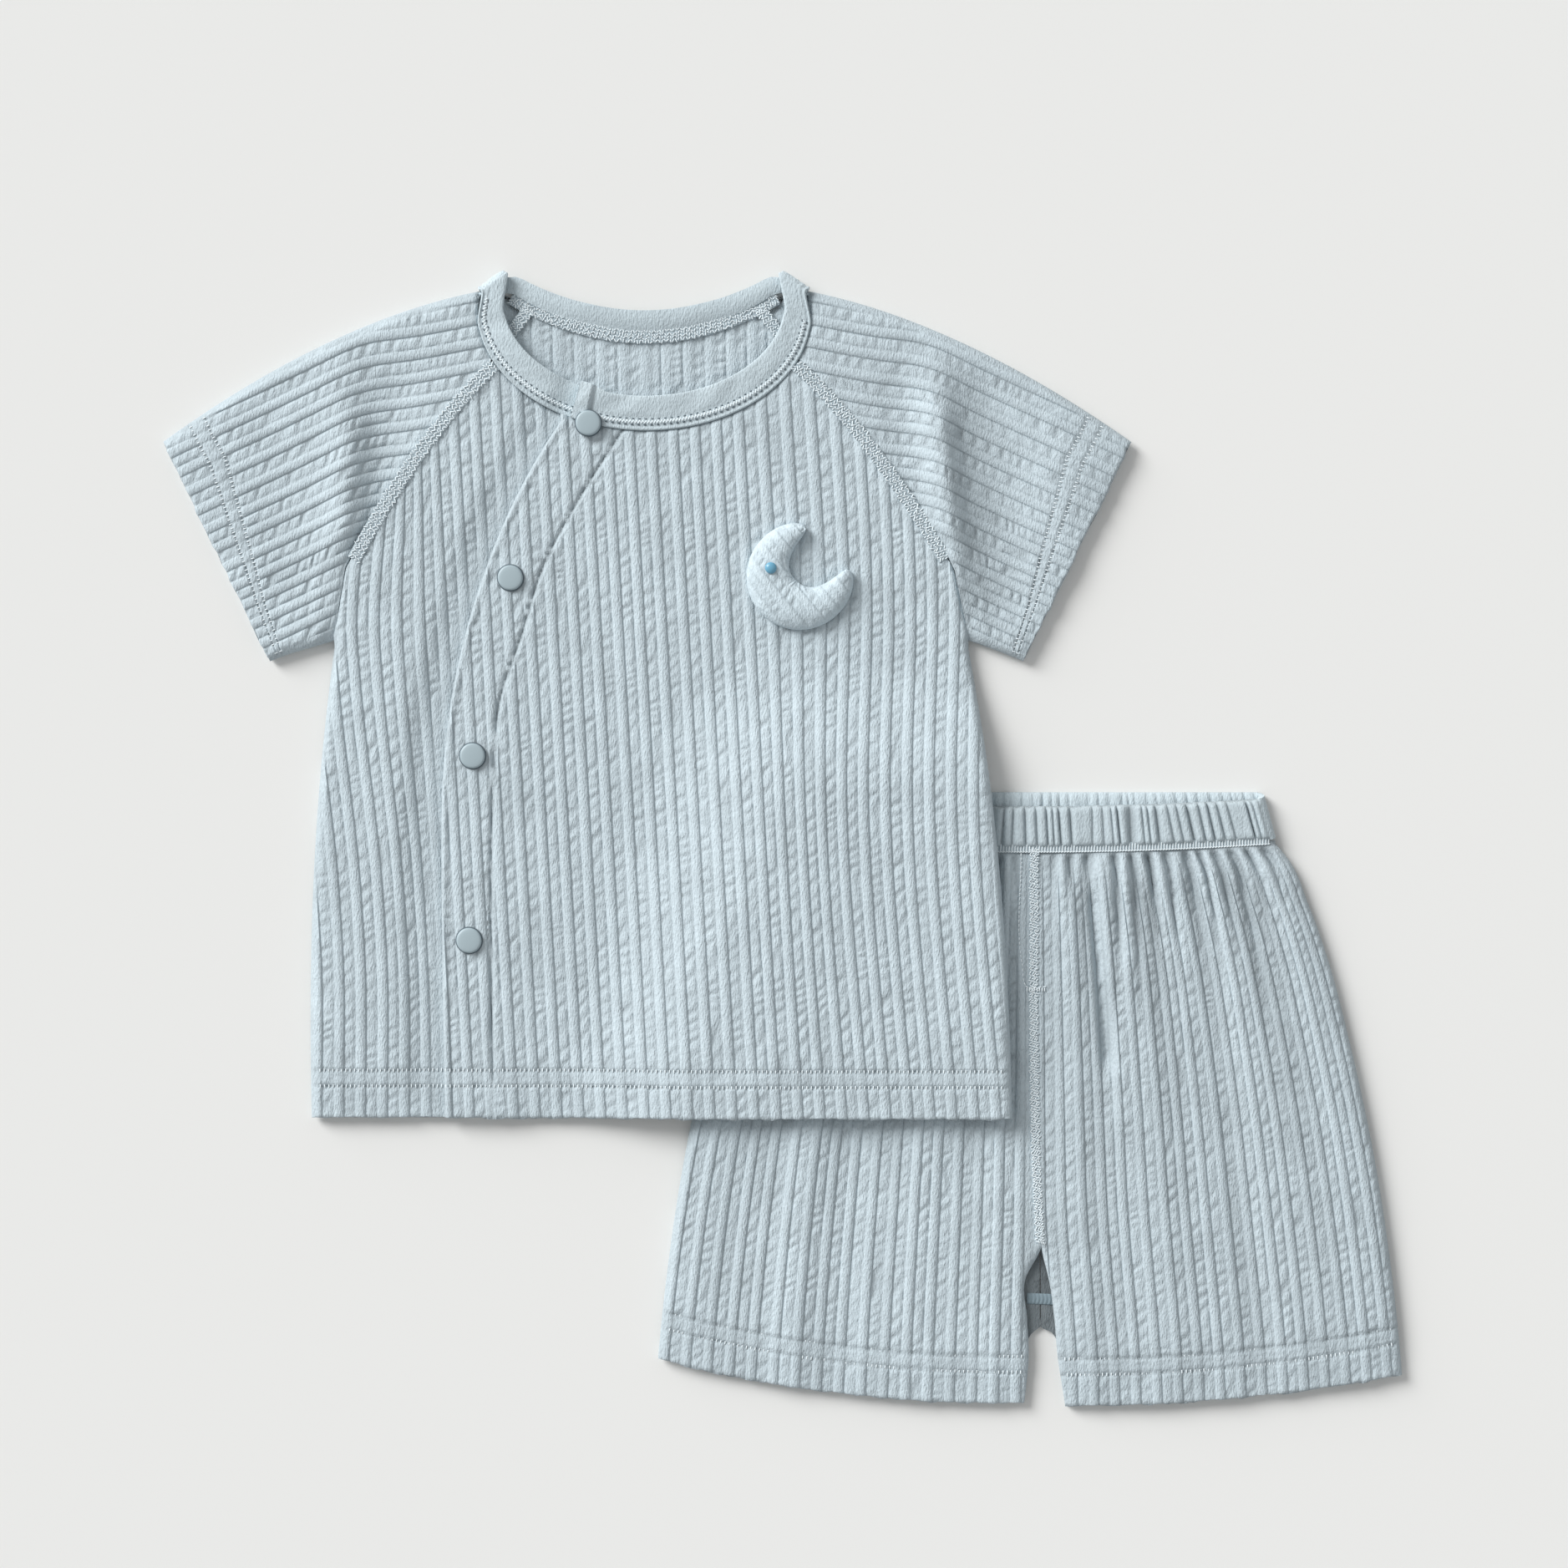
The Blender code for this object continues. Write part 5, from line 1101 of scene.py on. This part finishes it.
for place, at in SNAPS.items():
    ring, reach = np.radians(np.arange(0, 360, 30)), SNAP_DIAMETER / 2
    foot = left_surface(at[0] + reach * np.cos(ring), at[1] + reach * np.sin(ring)).max() + GAP
    foot = NECK_SNAP_Z if place == "neck" else foot
    caps[place] = dome(f"cap_{place}", at, SNAP_DIAMETER, SNAP_HEIGHT, foot, snap_shape, cap)
    # Painted shadow: a dark ring a little wider than the cap, under its edge.
    snap_shadow_rims[place] = dome(f"rim_{place}", at, SNAP_DIAMETER + SNAP_SHADOW_RIM, 0.5, foot - 0.1, shadow_rim_shape, painted_hole_shade)
moon_pad = moon(moon_cloth)
dot_at = MOON_CENTRE[0] + DOT_AT[0], MOON_CENTRE[1] + DOT_AT[1]
dot_foot = float(left_surface(np.array(dot_at[0]), np.array(dot_at[1]))) + 2 * GAP + 0.3 + MOON_HEIGHT
round_shape = [(math.sin(a), math.cos(a)) for a in np.radians([12, 26, 40, 54, 68, 80, 90])]
dot = dome("bead", dot_at, DOT_DIAMETER, 1.4, dot_foot, round_shape, bead)
legs = {
    (side, layer): leg(f"shorts_{layer}_{which}_cloth", side, layer, knit_cloth)
    for side, which in SIDES for layer in ("front", "back")
}
waist = waistband(jersey)


def on_front(inner, over=0.2):
    return lambda x, y: inner(x, y) + WALL + over + top_floor(x, y)


def level_at(z):
    return lambda x, y: z + 0 * x


def waist_seam_height(x, y):
    """The stitched strip lies over the waistband's foot and falls away at the sides."""
    return WAIST_SEAM_Z - 2.2 * (1 - rounded(WAIST_HALF + 3.5 - np.abs(x - WAIST_SHIFT), 4.5))


def waist_thread_height(x, y):
    return waist_seam_height(x, y) + WAIST_ABOVE


def covered_seam(name, path, cover, height, sewing, plan="top"):
    """A strip with threads over it. cover is the strip's width, and the threads' reach to either side."""
    width, half = cover
    sewing.chained(path, half, lambda x, y: height(x, y) + COVER_ABOVE, plan)
    return strip(name, path, width, height, plan, painted_seam_shade)


hem_stitches, right_stitches, band_stitches, holes, neck_stitches = (Sewing() for _ in range(5))
sleeve_stitches, shorts_stitches = {1: Sewing(), -1: Sewing()}, {1: Sewing(), -1: Sewing()}
for up in HEM_ROWS:
    for sewing, inner, ends in (
        (hem_stitches, left_inner, (WRAP_X + 0.8, HEM_HALF - 4)),
        (right_stitches, right_inner, (4 - HEM_HALF, WRAP_X - 1.0)),
    ):
        sewing.row([(x, up) for x in body_x(np.array(ends), up)], on_front(inner), "top")


def sleeve_row(side, up):
    """A row of stitches over a cuff: its path, and its height along that."""
    t = np.linspace(0.02, 0.98, 30)
    x, y, _, top, _ = sleeve_face(side, 1 - up / sleeve_length(t), t)
    z = rolled(SEAM_HEIGHT, top, sleeve_depth(t), 0) + 0.25
    return np.stack([x, y], axis=1), lambda px, py: np.interp(py, y[::-1], z[::-1])


def leg_row(side, up):
    """A row of stitches over a leg's hem."""
    w = np.linspace(0.02, 0.975, 30)
    y = leg_rise(side, "front", w)[0] + up
    middle, outer = leg_edges(side, "front", y)
    x = middle + (outer - middle) * w
    z = 2 * WALL + SHORTS_GAP - 0.55 + fold_height(x, y, SHORTS_FOLDS) * smooth(w * 6)
    return np.stack([x, y], axis=1), lambda px, py: np.interp(side * px, side * x, z)


for side, _ in SIDES:
    for up in HEM_ROWS:
        sleeve_stitches[side].row(*sleeve_row(side, up), "top")
        shorts_stitches[side].row(*leg_row(side, up), "shorts")

seam_strips = {}
for (side, which), inner in zip(SIDES, (left_inner, right_inner)):
    x = np.linspace(*RAGLAN_SEAM_X, 12)
    path = np.stack([side * (x - 1.0), raglan_y(x) - 0.7], axis=1)
    height, sewing = on_front(inner, RAGLAN_SEAM_ABOVE), sleeve_stitches[side]
    seam_strips[side] = covered_seam(f"raglan_seam_{which}", path, RAGLAN_COVER, height, sewing)
x = np.linspace(-BACK_NECK_SEAM_X, BACK_NECK_SEAM_X, 25)
path = np.stack([x, BACK_NECK_Y - 1.4 + BACK_NECK_RISE * (x / BACK_NECK_SPAN) ** 2], axis=1)
neck_strips = [covered_seam("back_neck_seam", path, NECK_COVER, level_at(BACK_NECK_Z), neck_stitches)]
for side, _ in SIDES:
    path = [(side * x, float(back_raglan_y(x)) - 0.5) for x in BACK_SEAM_X]
    name, height = f"back_seam_{side + 1}", level_at(BACK_SEAM_Z)
    neck_strips.append(covered_seam(name, path, BACK_COVER, height, neck_stitches))
height, sewing = level_at(CENTRE_SEAM_Z), shorts_stitches[1]
centre_seam = covered_seam("centre_seam", CENTRE_SEAM, CENTRE_COVER, height, sewing, "shorts")
left_x = FLY_X - FLY_HALF
fly = [(left_x - 0.4, FLY_TOP_Y), (left_x, FLY_Y + 9), (left_x + 2, FLY_Y), (FLY_X + FLY_REACH, FLY_Y)]
sewing.row(fly, level_at(FLY_Z), "shorts", size=FLY_THREAD, turn=0)
sewing.row([(x, y - FLY_ROWS) for x, y in fly[2:]], level_at(FLY_Z), "shorts", 1.0)
crotch_y = CROTCH_SEAM_Y - CROTCH_SEAM_FALL * np.linspace(0, 1, 6)
path = np.stack([np.linspace(*CROTCH_SEAM_X, 6), crotch_y], axis=1)
# Painted shadow: this strip takes the darkest seam colour.
crotch_strip = strip("back_crotch_seam", path, 4.4, level_at(CROTCH_SEAM_Z), "shorts", crotch_seam_painted_shadow, 0.55)
waist_seams = {}
for side, which in SIDES:
    x = side * np.linspace(0.2, WAIST_HALF + 0.2, 30)
    path = np.stack([x, band_front_y(x) - BAND_HEIGHT - 0.2], axis=1)
    name = f"waist_seam_{which}"
    waist_seams[side] = strip(name, path, STRIP, waist_seam_height, "shorts", painted_seam_shade, 0.25)
    for drop, size, turn in WAIST_ROWS:
        lower = path - np.array([0, drop])
        shorts_stitches[side].row(lower, waist_thread_height, "shorts", WAIST_PITCH, size, turn)


def band_path(low, high, share, pitch):
    """Evenly spaced points on the neckband's face at a share of its width, with the angle to the next."""
    stations = np.linspace(low, high, 300)
    pair = np.stack([stations, stations]), np.stack([0 * stations + share, 0 * stations + share + 0.01])
    path = band_surface(*pair)[0]
    step = np.append(0, np.cumsum(np.linalg.norm(np.diff(path, axis=0), axis=1)))
    at = np.linspace(0, step[-1], int(step[-1] / pitch))
    points = np.stack([np.interp(at, step, path[:, k]) for k in range(3)], axis=1)
    ahead = np.diff(points, axis=0)
    return zip(points, np.arctan2(ahead[:, 1], ahead[:, 0]))


# Painted shade: dark marks on the neckband's hole lines, then the threads of its chained line.
for low, high in BAND_SEWN:
    for share in HOLE_LINES:
        for point, angle in band_path(low, high, share, HOLE_PITCH):
            holes.stitch(point, angle, HOLE_SIZE)
    for i, (point, angle) in enumerate(band_path(low, high, CHAIN_LINE, CHAIN_PITCH)):
        turn = math.radians(90 + (CHAIN_TURN if i % 2 else -CHAIN_TURN))
        band_stitches.stitch(point, angle + turn, CHAIN_THREAD)

hem_stitches = hem_stitches.piece("hem_stitches", thread)
right_stitches = right_stitches.piece("right_hem_stitches", thread)
holes = holes.piece("neckband_holes", painted_hole_shade)
band_stitches = band_stitches.piece("band_stitches", thread)
neck_stitches = neck_stitches.piece("back_neck_stitches", thread)
for kind, sewn in (("sleeve", sleeve_stitches), ("shorts", shorts_stitches)):
    for side, _ in SIDES:
        sewn[side] = sewn[side].piece(f"{kind}_stitches_{side + 1}", thread)


def declare(piece, node, extras=()):
    for each in (piece, *extras):
        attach(each, "root")
        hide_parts(node)


bpy.ops.mesh.primitive_plane_add(size=6, location=(0, 0, -0.0002))
floor = bpy.context.object
floor.name = "floor"
floor.data.materials.append(paint("paper", PAPER, 0.95))

declare(back, "top_back", extras=[neck_stitches, *neck_strips])
declare(front_right, "front_right", extras=[right_stitches])
declare(
    front_left, "front_left",
    extras=[hem_stitches, seam_strips[1]],
)
declare(sleeves[1], "sleeve_left", extras=[sleeve_stitches[1]])
extras = [sleeve_stitches[-1], seam_strips[-1]]
declare(sleeves[-1], "sleeve_right", extras=extras)
extras = [band_stitches, holes]
declare(neck, "neckband", extras=extras)
for side, which in SIDES:
    rear, fore = legs[side, "back"], legs[side, "front"]
    declare(rear, f"shorts_back_{which}")
    extras = [shorts_stitches[side], waist_seams[side], centre_seam if side == 1 else crotch_strip]
    declare(fore, f"shorts_front_{which}", extras)
declare(waist, "waistband")
for place, piece in caps.items():
    declare(piece, f"snap_{place}", extras=[snap_shadow_rims[place]])
declare(moon_pad, "moon")
declare(dot, "moon_dot")

world = bpy.data.worlds.new("studio")
bpy.context.scene.world = world
world.use_nodes = True
world.node_tree.nodes["Background"].inputs["Color"].default_value = (*SKY, 1)
world.node_tree.nodes["Background"].inputs["Strength"].default_value = SKY_STRENGTH

for name, (energy, spread, direction) in SUNS.items():
    light = bpy.data.objects.new(name, bpy.data.lights.new(name, "SUN"))
    light.data.energy = energy
    light.data.angle = math.radians(spread)
    light.rotation_euler = Vector(direction).to_track_quat("Z", "Y").to_euler()
    bpy.context.scene.collection.objects.link(light)

camera = bpy.data.objects.new("camera", bpy.data.cameras.new("camera"))
camera.data.lens, camera.data.sensor_width = LENS, SENSOR
camera.location = CAMERA_AT
bpy.context.scene.collection.objects.link(camera)
bpy.context.scene.camera = camera
bpy.context.scene.view_settings.view_transform = "Standard"
